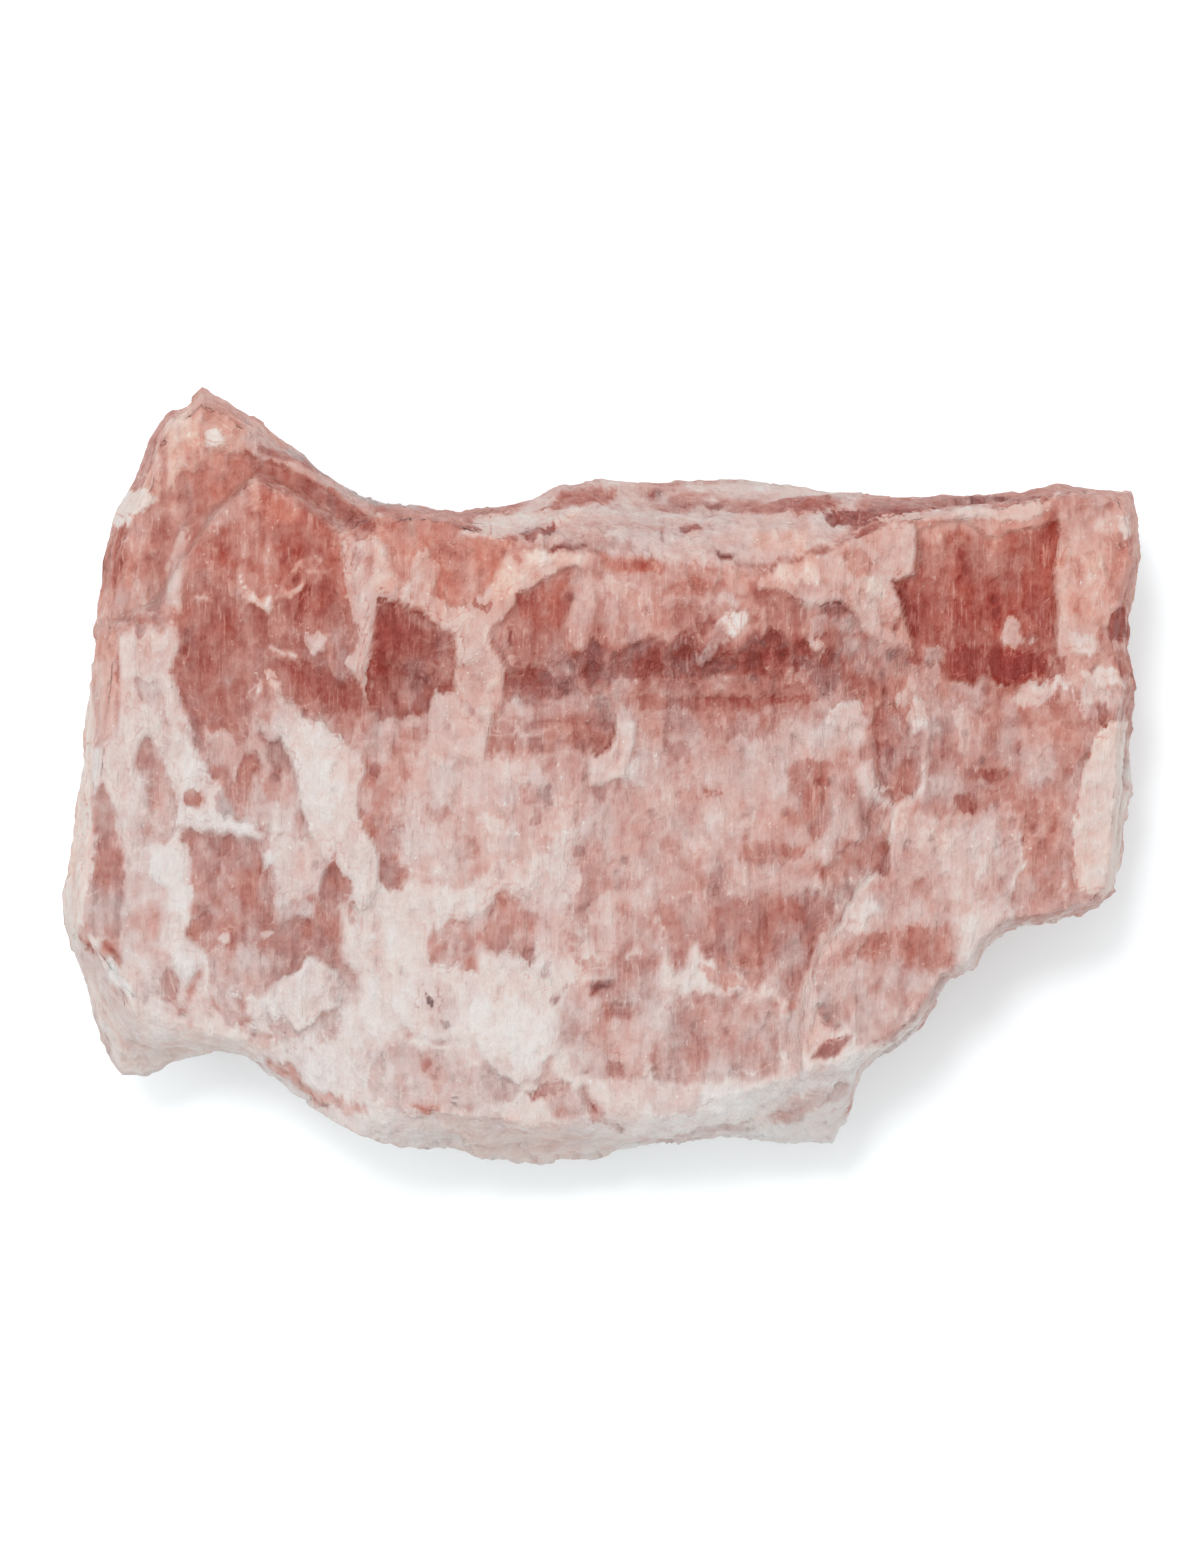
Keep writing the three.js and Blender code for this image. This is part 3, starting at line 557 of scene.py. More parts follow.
    (0.93, 0, 0.4, 0.22, [(10.4, 13.4), (11, 14), (12, 13.6), (12.2, 12.6), (11.6, 11.8), (10.8, 11.7),
        (10, 11.8), (9.4, 12.2), (9.6, 12.8)]),
    (0.62, -0.4, 0.1, 0.2, [(9.4, 12.5), (10.2, 12.6), (10.6, 12.1), (10, 11.7), (9.3, 12)]),
    (0.48, -0.5, 0.2, 0.25, [(7.8, 9.6), (8.4, 9.2), (9.2, 9.6), (9.8, 10.4), (10.8, 11.2), (10, 11.9),
        (9.4, 11.6), (8.8, 11.2), (8.4, 10.6)]),
    (0.2, 0, -0.2, 0.3, [(8, 13), (9.2, 13.2), (9, 12), (8, 12.2)]),
    (0.42, 0.1, 0, 0.4, [(12.4, 13), (14, 13.2), (14.2, 12), (12.6, 11.8)]),
    (0.58, 0.1, 0, 0.4, [(12.4, 14.4), (13.8, 14.4), (13.6, 13.4), (12.4, 13.4)]),
    # the light flake left of the window
    (0.71, 0.1, 0.45, 0.25, [(13, 16.8), (16, 18), (19, 18.6), (22, 20.2), (24.5, 21.2), (26.1, 20.8),
        (26.2, 17), (24.2, 16.4), (24.8, 14.5), (25.4, 12.5), (25.9, 10.5), (24.4, 10), (22.6, 11),
        (21.4, 12.8), (20.8, 14), (18.4, 14.4), (16.8, 14), (15.2, 15.2), (13, 15.8)]),
    (0.84, 0.4, 0, 0.6, [(13.6, 17), (17.8, 17.9), (18, 16), (15, 16)]),
    (0.53, 0.3, 0, 0.4, [(19.6, 18.4), (21.6, 19), (22.4, 18), (22.2, 16.8), (20.2, 16.8)]),
    (0.84, 0.2, 0, 0.5, [(21.8, 16.8), (24, 16.6), (23.8, 15.2), (22, 15.2)]),
    (0.63, 0.2, 0, 0.5, [(18.2, 16.6), (21, 15.8), (21, 14.4), (18.6, 14.8)]),
    (0.5, -0.1, 0, 0.35, [(23, 13.2), (25, 13.2), (24.6, 12), (23.2, 12)]),
    (0.4, 0, -0.1, 0.5, [(14, 15), (16.2, 14.8), (17.4, 13.6), (17, 12.2), (15.4, 12), (14, 13)]),
    (0.18, -0.15, -0.3, 0.2, [(18.2, 14.2), (19, 14.6), (20.4, 14.2), (20.8, 13.6), (19.6, 13.3),
        (18.6, 13.5)]),
    (0.58, -0.3, 0.1, 0.3, [(17.4, 13.2), (18.8, 13.5), (19, 12.6), (18.4, 11.8), (17.4, 12)]),
    (0.52, -0.3, -0.1, 0.5, [(18.6, 12.8), (20.8, 13.2), (22, 12.4), (21.2, 11.6), (19.2, 11.8)]),
    (0.29, -0.2, -0.2, 0.4, [(18, 11.6), (20.6, 11.8), (20.6, 10.6), (19.8, 9.6), (19, 10.8)]),
    (0.46, -0.3, -0.1, 0.5, [(20.4, 11.2), (23, 11.4), (25.6, 10.6), (25.4, 8), (22, 7.6), (20.2, 9.4)]),
    (0.62, -0.2, 0.1, 0.4, [(22.8, 11.8), (24.4, 12), (24, 10.4), (23, 10.2)]),
    (0.38, -0.1, -0.1, 0.4, [(22, 10), (23.2, 10), (22.8, 8.8), (21.8, 9)]),
    (0.39, 0, -0.1, 0.6, [(20, 8.4), (23, 7.8), (23.4, 6.8), (20.4, 6.6)]),
    # the deep red window
    (0.27, 0.6, -0.5, 0.16, [(24.1, 16.4), (24.4, 15.4), (25, 14.4), (25.3, 13), (25.9, 11.6),
        (26, 10.4), (26.4, 9.8), (28.6, 9.2), (28.9, 7.9), (31, 7.8), (34, 7.7), (36.6, 7.9), (37.2, 8.6),
        (37.9, 10), (37.6, 14.5), (37.4, 16.8), (37.8, 18.2), (38.2, 19.8), (38, 21.2), (36.6, 20.8),
        (35, 20.6), (33.4, 20.2), (32, 19.8), (31, 20.6), (29.8, 21.2), (28, 21), (26.6, 20.6),
        (26.1, 19), (26, 17.4), (26.2, 16.6), (25, 16.6)]),
    (0.62, 0.5, 0.1, 0.9, [(26.2, 22), (37.8, 22.4), (37, 21), (33.6, 20), (32.8, 18.6), (31.6, 19.4),
        (29.6, 20.4), (28.4, 19.2), (26.6, 19.6)]),
    (0.42, 0.4, 0, 0.9, [(26.2, 19.4), (31, 19.8), (33.8, 19.4), (33.6, 17), (32, 16.6), (31, 18),
        (29, 16.8), (28, 17), (26.2, 17.6)]),
    (0.36, 0.3, 0, 0.5, [(28, 17.4), (28.9, 17.4), (28.8, 14), (28.2, 13.6)]),
    (0.37, 0.3, 0, 0.5, [(30.9, 19), (31.9, 19), (31.8, 14), (31, 14)]),
    (0.22, 0.6, 0, 0.4, [(29.4, 18.6), (30.4, 18.6), (30.4, 12), (29.4, 12)]),
    (0.33, 0.3, 0, 0.5, [(33.6, 18.6), (35, 18.6), (34.8, 15.4), (33.6, 15.6)]),
    (0.17, 0.6, 0, 0.4, [(35.2, 15.6), (36.4, 15.8), (37, 12), (35.4, 13)]),
    (0.08, 0.9, -0.1, 0.25, [(32.4, 14), (33.3, 14.2), (33.2, 11.6), (32.6, 11.8)]),
    (0.04, 0.1, -0.1, 0.3, [(24.4, 16.2), (25.3, 16.2), (25.5, 14.4), (24.8, 14.8)]),
    (0.14, 0.6, -0.1, 0.3, [(25.4, 14.4), (27, 14.4), (26.8, 12.4), (25.8, 12.2)]),
    (0.06, 0.9, -0.1, 0.3, [(28.8, 10.2), (30.4, 10.9), (33.2, 10.8), (35, 10.6), (37.2, 10.4),
        (37.2, 8.9), (35.6, 8.2), (32.6, 8), (29.2, 8.1)]),
    (0.16, 0.8, 0, 0.4, [(31.2, 10.8), (32.4, 10.8), (32.2, 8.2), (31.4, 8.2)]),
    (0.5, -0.1, 0.05, 0.35, [(26.8, 10.8), (28.4, 10.6), (28.4, 9.2), (26.8, 9.6)]),
    (0.6, -0.1, 0.1, 0.4, [(25.2, 9.6), (28, 9.4), (28.2, 7.8), (26.8, 7), (25.4, 7.2)]),
    (0.84, 0, 0.1, 0.3, [(25.3, 8.4), (26.3, 8.4), (26.2, 7.2), (25.4, 7.2)]),
    (0.7, -0.1, 0.25, 0.22, [(33.2, 11.2), (33.5, 12.6), (34.2, 13.6), (34.8, 13), (34.7, 12.2),
        (35.2, 11.6), (34.4, 11), (33.6, 10.9)]),
    (0.6, -0.2, 0.1, 0.18, [(35.4, 11.2), (35.7, 12.2), (36.2, 11.6), (36, 11.1)]),
    # the light block at the right end
    (0.68, 0.4, 0.3, 0.35, [(37.8, 23), (44, 23.6), (45.4, 20), (44.4, 14), (44.4, 7), (39, 7), (37.8, 9),
        (38, 11), (37.7, 14.5), (37.5, 16.8), (38.1, 19.8)]),
    (0.53, 0.3, 0, 0.5, [(37.8, 22.8), (38.6, 23.6), (43.6, 24), (42.4, 22.4), (40, 22.2), (38.8, 21.4)]),
    (0.82, 0.5, 0, 0.6, [(40.4, 21.6), (43.6, 21.8), (43.6, 20.2), (41, 20.2)]),
    (0.44, 0.3, 0, 0.35, [(39, 18), (39.9, 18), (39.8, 16.4), (39.2, 16.4)]),
    (0.5, 0.4, 0, 0.3, [(39, 15), (39.8, 15), (39.8, 13.4), (39.1, 13.4)]),
    (0.78, 0.5, 0, 0.4, [(40, 18.4), (41.2, 18.4), (41.2, 13.2), (40.2, 13.4)]),
    (0.74, 0.3, 0, 0.3, [(37.8, 16.4), (38.6, 16.4), (38.9, 11), (38, 11)]),
    (0.52, 0.2, 0, 0.6, [(42, 19.6), (44.2, 20), (44.6, 17), (43.8, 13.8), (42.2, 14.6)]),
    (0.84, 0.1, 0.2, 0.4, [(38.8, 11.8), (41, 12.2), (41, 10.2), (39, 10)]),
    (0.94, 0, 0.2, 0.25, [(43, 21.6), (43.8, 21.8), (44, 20.4), (43.4, 19.6), (42.9, 20.4)]),
    (0.54, 0.1, 0, 0.4, [(41.2, 12.8), (42.4, 12.8), (42.4, 10.4), (41.4, 10.4)]),
    (0.18, 0.1, -0.4, 0.22, [(42, 12.6), (42.3, 13.6), (43.4, 14.2), (43.8, 13), (43.8, 11.6), (43.2, 11),
        (42.4, 11.4)]),
    (0.52, 0.3, 0, 0.5, [(40, 10), (41.2, 10), (41.2, 8.8), (40.2, 8.8)]),
    (0.46, 0.4, 0, 0.5, [(42.4, 10.4), (44.6, 10.4), (44.6, 8), (42.6, 8.2)]),
    (0.3, 0.3, -0.2, 0.25, [(37.7, 10), (38.5, 10), (38.4, 8.8), (37.4, 7.6), (37, 8.4)]),
    # the chalk field at the left, with its red tongue
    (0.85, -0.1, 0.3, 0.35, [(-40, 12), (-38, 12.3), (-36.4, 12.2), (-35.3, 12.4), (-35, 11.4),
        (-35.3, 10), (-35.4, 8.4), (-35, 7), (-34.6, 5.6), (-34, 4.4), (-33.6, 2.6), (-33.2, 1.2),
        (-32.4, -0.2), (-31.6, -1), (-31.6, -2.6), (-30.6, -3.4), (-29, -3.6), (-27.8, -4.6),
        (-28.8, -5.2), (-31, -4.4), (-33.4, -4.6), (-35.2, -4.4), (-37.4, -5.6), (-39.4, -5), (-40, -3),
        (-41, -1.6), (-42.6, -1), (-43.6, 1.2), (-42, 2.6), (-40.4, 3), (-39.8, 6)]),
    (0.74, -0.2, 0, 0.6, [(-40, 12.4), (-35.4, 12.4), (-35.7, 9.6), (-37.2, 8.6), (-39, 9.6)]),
    (0.84, -0.2, 0.1, 0.3, [(-37.7, 11.8), (-36.3, 11.9), (-36, 10.8), (-37.2, 10.4)]),
    (0.42, -0.4, -0.2, 0.2, [(-38.8, 12.4), (-37.8, 12.6), (-37.6, 11.8), (-38.6, 11.5)]),
    (0.56, -0.5, -0.2, 0.25, [(-38.8, 7.9), (-37.4, 8.1), (-36.6, 7.8), (-36.3, 6.6), (-37.4, 6.2),
        (-38.2, 6.4)]),
    (0.64, -0.3, -0.05, 0.35, [(-37, 6.6), (-36.2, 6.8), (-35.6, 4.6), (-35.6, 2.4), (-36.4, 1.6),
        (-36.6, 4)]),
    (0.88, -0.3, 0.1, 0.25, [(-36.2, 7.4), (-35, 7.6), (-34.8, 5.6), (-35.4, 4), (-36, 5.4)]),
    (0.53, 0, -0.35, 0.22, [(-37.6, 3.8), (-38.2, 2.8), (-38.6, 1.4), (-38.2, -0.2), (-37.6, -1.6),
        (-37.4, -3), (-38.4, -4), (-37.6, -5.4), (-36.2, -5.6), (-35.3, -4.6), (-35.1, -2.6), (-35.6, -1),
        (-36.2, 0.5), (-36.6, 2), (-37, 3)]),
    (0.47, 0.1, -0.05, 0.3, [(-38.2, 2.2), (-37.2, 2.2), (-37, 0.6), (-37.8, 0.2), (-38.3, 1)]),
    (0.66, -0.1, 0, 0.4, [(-38.6, -3), (-37, -3), (-36.4, -4.4), (-36.8, -5.8), (-38.4, -5.4)]),
    (0.72, -0.1, 0, 0.5, [(-40.4, -2.4), (-38.6, -3), (-38, -5.6), (-39.4, -6), (-40.2, -4.6)]),
    (0.45, 0.2, -0.3, 0.2, [(-34.8, -2.2), (-34.4, -1.3), (-33.2, -1.3), (-33, -2.2), (-33.8, -2.7),
        (-34.5, -2.6)]),
    (0.6, 0, 0, 0.5, [(-33, 4), (-30.8, 3.6), (-30, 1.6), (-30.2, -0.4), (-31, 0.8), (-32.6, 1)]),
    (0.55, -0.5, -0.2, 0.3, [(-32.2, -1.4), (-31.2, -1.2), (-30.4, -3), (-31, -3.2), (-31.8, -2.8)]),
    # the diagonal chalk flake
    (0.6, 0, 0, 0.6, [(-30.4, 0.8), (-29.8, 1.8), (-27.4, 1.4), (-26, 0.6), (-25.4, -0.6), (-24.8, -3),
        (-25, -5), (-27.4, -4.6), (-28.6, -4), (-29.8, -3.4), (-30.2, -1.6)]),
    (0.35, 0, -0.25, 0.3, [(-30.3, 0.6), (-29.7, 1.9), (-28.4, 1.9), (-28.2, 0.6), (-29, -0.4),
        (-29.4, -2.6), (-30.2, -2)]),
    (0.75, -0.1, 0, 0.5, [(-28.6, -2.4), (-26.8, -2.2), (-25.4, -2.6), (-25, -5), (-27.6, -4.4)]),
    (0.68, -0.2, 0, 0.4, [(-28.9, -0.4), (-28, -0.6), (-27.8, -2), (-28.6, -2)]),
    (0.85, 0, 0.5, 0.2, [(-28.6, 5), (-27.2, 6.7), (-26, 6.1), (-24.6, 5.1), (-23.2, 4.7), (-22.5, 3.7),
        (-21.2, 2.6), (-20, 1.9), (-19.4, 0.6), (-20, -0.8), (-20.2, -3), (-19.5, -4.4), (-18.9, -5.6),
        (-18.4, -7), (-18.3, -9), (-19.4, -11), (-22, -10.6), (-22, -7.6), (-23.4, -6.4), (-24.2, -4.4),
        (-24.8, -2), (-25.1, -0.4), (-25.6, 1.2), (-26.4, 2.6), (-27.4, 3.2), (-28.2, 3.8)]),
    (0.69, -0.3, 0, 0.5, [(-28.8, 5.4), (-27.2, 6.8), (-25.6, 5.8), (-24.8, 4.4), (-26.2, 3),
        (-28, 3.6)]),
    (0.54, 0, 0, 0.35, [(-28.9, 6.4), (-27.2, 7), (-26.9, 5.6), (-27.6, 4.8), (-28.8, 5)]),
    (0.92, 0.1, 0, 0.6, [(-23.4, 1.6), (-21.4, 1.4), (-20.8, -0.6), (-22, -1.6), (-23.6, -0.4)]),
    (0.4, -0.1, -0.3, 0.2, [(-27.4, 3.1), (-26.9, 3), (-26.2, 1.8), (-25.5, 0.4), (-26.6, 0.2),
        (-27.4, 1)]),
    (0.55, 0, -0.1, 0.6, [(-19.4, 4.6), (-16.4, 5), (-14.6, 4.6), (-15.2, 2), (-15.2, -1.6), (-16, -3),
        (-18.6, -2), (-18.8, 1), (-19.8, 2.4)]),
    (0.46, 0, 0, 0.4, [(-19.2, 3.6), (-17.4, 3.6), (-17.2, 2), (-18.8, 1.6)]),
    # This dark patch and the two darker ones below it, at y -4 and -7, lie along the raised flake's right
    # edge and are painted shadow of the flake.
    (0.27, -0.2, -0.25, 0.2, [(-19.2, 1.1), (-18.3, 1.3), (-18, 0.4), (-18.6, 0), (-19.2, 0.3)]),
    (0.67, 0, 0, 0.5, [(-19.9, -1), (-18.8, -1), (-18.8, -3.2), (-19.8, -3.4)]),
    (0.48, 0, -0.15, 0.3, [(-19.2, -4), (-18.2, -3.4), (-17, -4), (-16.6, -5.4), (-17, -6.2),
        (-18.6, -6.4), (-18.9, -5.4)]),
    (0.36, -0.1, -0.2, 0.25, [(-18.2, -6.9), (-17, -7), (-15.8, -8), (-16, -8.9), (-18.2, -8.9)]),
    # the pale block under the fork
    (0.76, 0, 0.3, 0.25, [(-14.2, 5.8), (-13.6, 7.1), (-12.4, 7.2), (-11.8, 6.2), (-9, 6), (-8.6, 4.6),
        (-9.2, 4.2), (-9.4, 2.4), (-9.8, 1.2), (-12, 1), (-14, 1), (-14.6, 2.6)]),
    (0.68, 0, 0, 0.5, [(-13.8, 2.8), (-12.2, 2.8), (-12.2, 1.2), (-13.8, 1)]),
    (0.5, -0.4, -0.3, 0.25, [(-11.1, 6), (-10.4, 6.1), (-10.2, 5.3), (-10.8, 5.1)]),
    # the ledged block between the veins
    (0.43, 0, -0.25, 0.35, [(-8.4, 6.3), (-6, 6.5), (-3, 6.6), (-1.2, 7), (0.4, 6.6), (0.9, 5.4),
        (1.1, 3.6), (0.6, 2.4), (-0.4, 1.8), (-2, 2.2), (-4, 1.9), (-6, 2.1), (-9.4, 2), (-9.2, 3.6),
        (-8.8, 5)]),
    (0.6, 0, 0.05, 0.5, [(-8.6, 6), (-6.4, 6.2), (-5.4, 5.6), (-6, 4.8), (-8.6, 4.8)]),
    (0.56, 0.1, 0.08, 0.2, [(-7.2, 3.9), (-5.4, 4), (-4.4, 3.6), (-5.4, 3.3), (-7, 3.3)]),
    (0.5, 0, 0, 0.3, [(-5, 2.9), (-3, 2.8), (-3, 2.2), (-5, 2.2)]),
    (0.35, 0, -0.1, 0.35, [(-2.8, 3.4), (-1.4, 3.4), (0.2, 3), (-0.4, 2.1), (-2.4, 2.4)]),
    (0.28, -0.2, -0.3, 0.25, [(-0.4, 6.9), (0.6, 6.5), (0.9, 5.2), (0.3, 4.6), (-0.4, 5.6)]),
    (0.45, -0.2, 0, 0.35, [(0.9, 8.2), (2.4, 8.2), (3, 6.8), (2.8, 5.6), (1.2, 5.8)]),
    (0.82, 0, 0.45, 0.2, [(1.4, 5.2), (2.6, 5.2), (2.9, 4.4), (2.9, 3), (2.6, 1.8), (2.2, 0.6), (2, -0.4),
        (0.6, -0.8), (-1, -0.6), (-1, 0.8), (-0.9, 1.6), (0.3, 2.1), (1.1, 3.2), (1.2, 4.4)]),
    (0.66, -0.2, 0, 0.35, [(1.4, 5.8), (2.7, 5.6), (2.8, 4.6), (1.4, 4.6)]),
    # the platform's left, pale and mottled
    (0.73, 0, 0, 1.6, [(-15.6, 2), (-9, 1.4), (-2, 1.6), (-1, -3), (-2, -10), (-3, -16), (-16, -10),
        (-17, -3)]),
    (0.8, 0, 0.1, 0.4, [(-9.4, 1.4), (-8.2, 1.6), (-7.2, 1), (-5.4, 0.4), (-6, -0.4), (-9, -0.6)]),
    # Painted shade under the ledged block's lower edge.
    (0.54, 0, -0.1, 0.5, [(-5.2, 1.6), (-1.2, 1.8), (-1.2, 0), (-1.6, -1), (-3.4, -1.8), (-4.6, 0)]),
    (0.52, 0, -0.1, 0.4, [(-6.8, -0.8), (-5, -0.6), (-4.6, -2.8), (-6.4, -2.2)]),
    (0.35, -0.3, -0.3, 0.25, [(-5.2, -0.6), (-4.1, -0.8), (-3.9, -2.2), (-4.6, -2.6), (-5.2, -1.8)]),
    (0.47, -0.2, -0.2, 0.25, [(-5.6, -2.6), (-4.8, -2.8), (-5, -4.4), (-5.9, -4.2)]),
    (0.64, 0, 0, 0.5, [(-9, -1), (-7.4, -1), (-7.2, -2.4), (-8.6, -2.6)]),
    (0.55, 0, -0.1, 0.4, [(-14.6, -2.4), (-13, -2.6), (-12.4, -3.4), (-14, -4)]),
    (0.85, -0.1, 0, 0.5, [(-10.4, -3.2), (-8.4, -3.2), (-8, -4.8), (-10, -5)]),
    (0.57, 0, -0.1, 0.5, [(-12.4, -5), (-10.6, -5), (-10, -6.6), (-11.6, -7.2), (-12.6, -6.4)]),
    (0.62, 0, 0, 0.5, [(-11, -7.4), (-9.4, -7.2), (-9.4, -8.6), (-10.8, -8.8)]),
    (0.58, 0, 0, 0.4, [(-5.6, -5), (-4.4, -4.8), (-4.2, -6.4), (-5.4, -6.4)]),
    (0.86, 0, 0.3, 0.5, [(-20, -9), (-17, -9.2), (-14.6, -8.8), (-12.6, -9), (-11.6, -9.4), (-10.4, -9),
        (-9, -7.2), (-7, -6.8), (-5.4, -7), (-5.2, -8.6), (-6.4, -9.4), (-8, -9.2), (-9, -10.4),
        (-10.4, -11.4), (-12, -12), (-13.8, -12.4), (-14.4, -14), (-14, -15.4), (-12, -15.6), (-10, -16),
        (-7.4, -16), (-5.4, -16.4), (-3.6, -17.4), (-3.4, -18.4), (-3.2, -20.2), (-3.2, -22.4),
        (-4.4, -23.4), (-5, -24.8), (-7, -25.6), (-8.6, -24.8), (-9.8, -23.2), (-10.8, -22),
        (-12.4, -21.6), (-14, -22), (-16, -21), (-17.6, -20), (-18.6, -17.6), (-19.6, -15),
        (-20.4, -12.6), (-20.6, -10.8)]),
    (0.96, 0, 0.1, 0.8, [(-10.6, -18.6), (-7, -18.2), (-4.4, -20), (-4.4, -22.4), (-6, -24.6),
        (-8.4, -23.4), (-10.8, -21.4)]),
    (0.71, 0, 0, 0.5, [(-14, -16.8), (-12.4, -17), (-12, -19.6), (-12.6, -21.4), (-14.2, -20.6)]),
    (0.52, 0, -0.3, 0.4, [(-8.8, -10.2), (-7.6, -9.8), (-6.8, -10), (-6.2, -11.4), (-5.4, -11.6),
        (-5.2, -13), (-5.6, -14.6), (-6.6, -14.8), (-7.6, -14.8), (-9.4, -14.2), (-10, -12.6),
        (-9.4, -11.2)]),
    (0.36, -0.1, -0.2, 0.3, [(-6.8, -14.2), (-5.8, -14.2), (-5.3, -15.2), (-5.8, -15.8), (-6.6, -15.2)]),
    (0.54, 0, -0.2, 0.35, [(-13.4, -13.2), (-11.4, -13.4), (-10.8, -14.4), (-11.4, -15.2),
        (-12.8, -14.6)]),
    (0.66, 0, 0, 0.5, [(-13.8, -12.4), (-12, -12.4), (-12, -13.6), (-13.8, -13.8)]),
    (0.56, 0, -0.1, 0.4, [(-11.2, -24.2), (-9.8, -24), (-9.4, -25.4), (-10.8, -25.6)]),
    (0.7, 0, 0, 0.6, [(-12.4, -22.2), (-10.4, -22.4), (-9.8, -23.6), (-12, -24.4)]),
    (0.6, -0.3, -0.1, 0.3, [(-4.9, -15.4), (-4, -15.4), (-4, -16.6), (-4.8, -16.6)]),
    (0.12, -0.8, -0.3, 0.22, [(-14.7, -18.2), (-14.1, -18), (-13.9, -18.7), (-14.5, -18.9)]),
    (0.4, -0.6, -0.2, 0.22, [(-13.2, -20.1), (-12.4, -20), (-12.3, -20.5), (-13, -20.7)]),
    (0.35, -0.7, -0.2, 0.2, [(-4.2, -18.2), (-3.5, -18.3), (-3.4, -18.8), (-3.9, -18.9)]),
    # left edge below the chalk: cream rim, brown strip, pale columns
    (0.93, 0.9, 0, 0.5, [(-46, -14), (-43.2, -13.4), (-42.6, -9), (-42.2, -5), (-42.2, 0), (-42.2, 8),
        (-42, 16), (-43.6, 16), (-46, 0)]),
    (0.73, 0.2, 0, 0.4, [(-41.9, 9.8), (-40.2, 9.8), (-40, 6), (-40.6, 3.4), (-42, 3.2)]),
    (0.48, -0.2, -0.1, 0.35, [(-41.9, -0.5), (-41.1, -1.1), (-40.5, -2.8), (-40, -4.4), (-39.5, -6),
        (-39.6, -8), (-39.7, -10), (-39.8, -13.8), (-41, -13.4), (-42.8, -12.8), (-42.7, -10),
        (-42.3, -7.6), (-41.8, -5), (-41.8, -2.4)]),
    (0.6, -0.2, 0, 0.4, [(-42.8, -10.6), (-41.6, -10.2), (-41, -12), (-41.2, -13.6), (-42.6, -13)]),
    (0.4, -0.3, -0.15, 0.2, [(-39.6, -7.4), (-39.3, -7.6), (-39.6, -10), (-39.8, -13), (-40.4, -13),
        (-40.2, -9.6)]),
    (0.72, -0.1, 0, 0.6, [(-39.2, -6), (-37.6, -6.4), (-36.4, -8.4), (-36, -11), (-36.4, -14),
        (-37, -16.4), (-39.6, -15.6), (-39.6, -9)]),
    (0.63, 0.1, 0, 0.6, [(-39.4, -10.6), (-37.2, -10.4), (-36.6, -13), (-38, -15), (-39.4, -14)]),
    (0.92, -0.5, 0.2, 0.3, [(-36.8, -6.2), (-35, -5.8), (-34.4, -7), (-34.8, -8.8), (-34, -9.6),
        (-34.4, -10.8), (-35.4, -10.4), (-36, -9.2), (-37.2, -8.6), (-37.4, -7.2)]),
    (0.7, -0.2, 0, 0.4, [(-36.2, -11), (-34.8, -11), (-34.8, -13), (-36, -13.6)]),
    (0.78, 0.2, 0, 1, [(-43.4, -14.4), (-38, -15.4), (-36, -16.4), (-33, -15.6), (-32.2, -19.6),
        (-30, -21), (-28, -22.4), (-30, -24.4), (-37, -25.6), (-41, -25.4), (-43.6, -18)]),
    (0.62, 0.1, 0, 0.5, [(-37.8, -14.2), (-35.4, -14.2), (-35.2, -16.6), (-37.2, -16.6)]),
    (0.92, -0.1, 0.2, 0.25, [(-41.4, -15.2), (-40.6, -15), (-39.6, -16.6), (-38.8, -17.8), (-38.4, -19.6),
        (-38.8, -21.6), (-39.2, -19.4), (-40, -17.6), (-41, -16.4)]),
    (0.55, -0.5, -0.25, 0.3, [(-40.8, -17.8), (-39.7, -17.4), (-39.3, -18.4), (-40.4, -18.8)]),
    (0.58, -0.4, -0.1, 0.3, [(-38.2, -17), (-37, -16.6), (-36.8, -18), (-37.8, -18.4)]),
    (0.47, 0, -0.3, 0.3, [(-36.6, -18.4), (-36.6, -16.8), (-35.8, -16), (-35.1, -17), (-35.1, -18),
        (-36, -18.8)]),
    (0.84, 0, 0.2, 0.3, [(-35.4, -12.8), (-34.4, -13.6), (-33.6, -14.6), (-33, -15.2), (-33.6, -16.4),
        (-34.6, -17.6), (-35.4, -15.6), (-36, -14)]),
    (0.9, 0, 0, 0.8, [(-42, -22), (-38, -23), (-34, -22.8), (-34, -25), (-38, -26), (-42, -25)]),
    # the red hollow under the left chalk
    (0.43, 0, -0.35, 0.35, [(-35, -5), (-34, -4.4), (-33.4, -4.5), (-32, -4.2), (-31, -4.7),
        (-29.6, -5.1), (-28.6, -5.1), (-28.3, -6.2), (-28.2, -7.2), (-27.2, -7.4), (-27, -8.6),
        (-27.2, -10.2), (-26.8, -11.6), (-25.6, -12), (-24, -11.8), (-22.6, -11.6), (-21.9, -12.8),
        (-22, -14.2), (-21.4, -15), (-20.3, -16.2), (-20.2, -18), (-21.2, -17.4), (-22.6, -15.8),
        (-23.6, -14.7), (-25, -15.4), (-27, -17), (-28.2, -18.4), (-29, -20.4), (-30.2, -20.8),
        (-31.4, -20), (-32.2, -19.4), (-32.4, -17.4), (-32.2, -15.2), (-33.4, -14), (-34.6, -13),
        (-34, -11.6), (-32.4, -10.8), (-32, -9), (-32.4, -7.6), (-34, -6.4)]),
    (0.56, -0.1, 0.05, 0.5, [(-32.6, -14.2), (-30, -14.2), (-27, -14.4), (-25.6, -15), (-27.4, -17.2),
        (-29, -20), (-30.6, -20.4), (-32, -19.2), (-32.2, -17)]),
    # This patch and the next are painted shade under the chalk field's raised rim.
    (0.27, 0, -0.2, 0.3, [(-32.6, -5), (-31.4, -4.7), (-30, -5.3), (-30, -6.2), (-31.6, -6.4),
        (-32.8, -6)]),
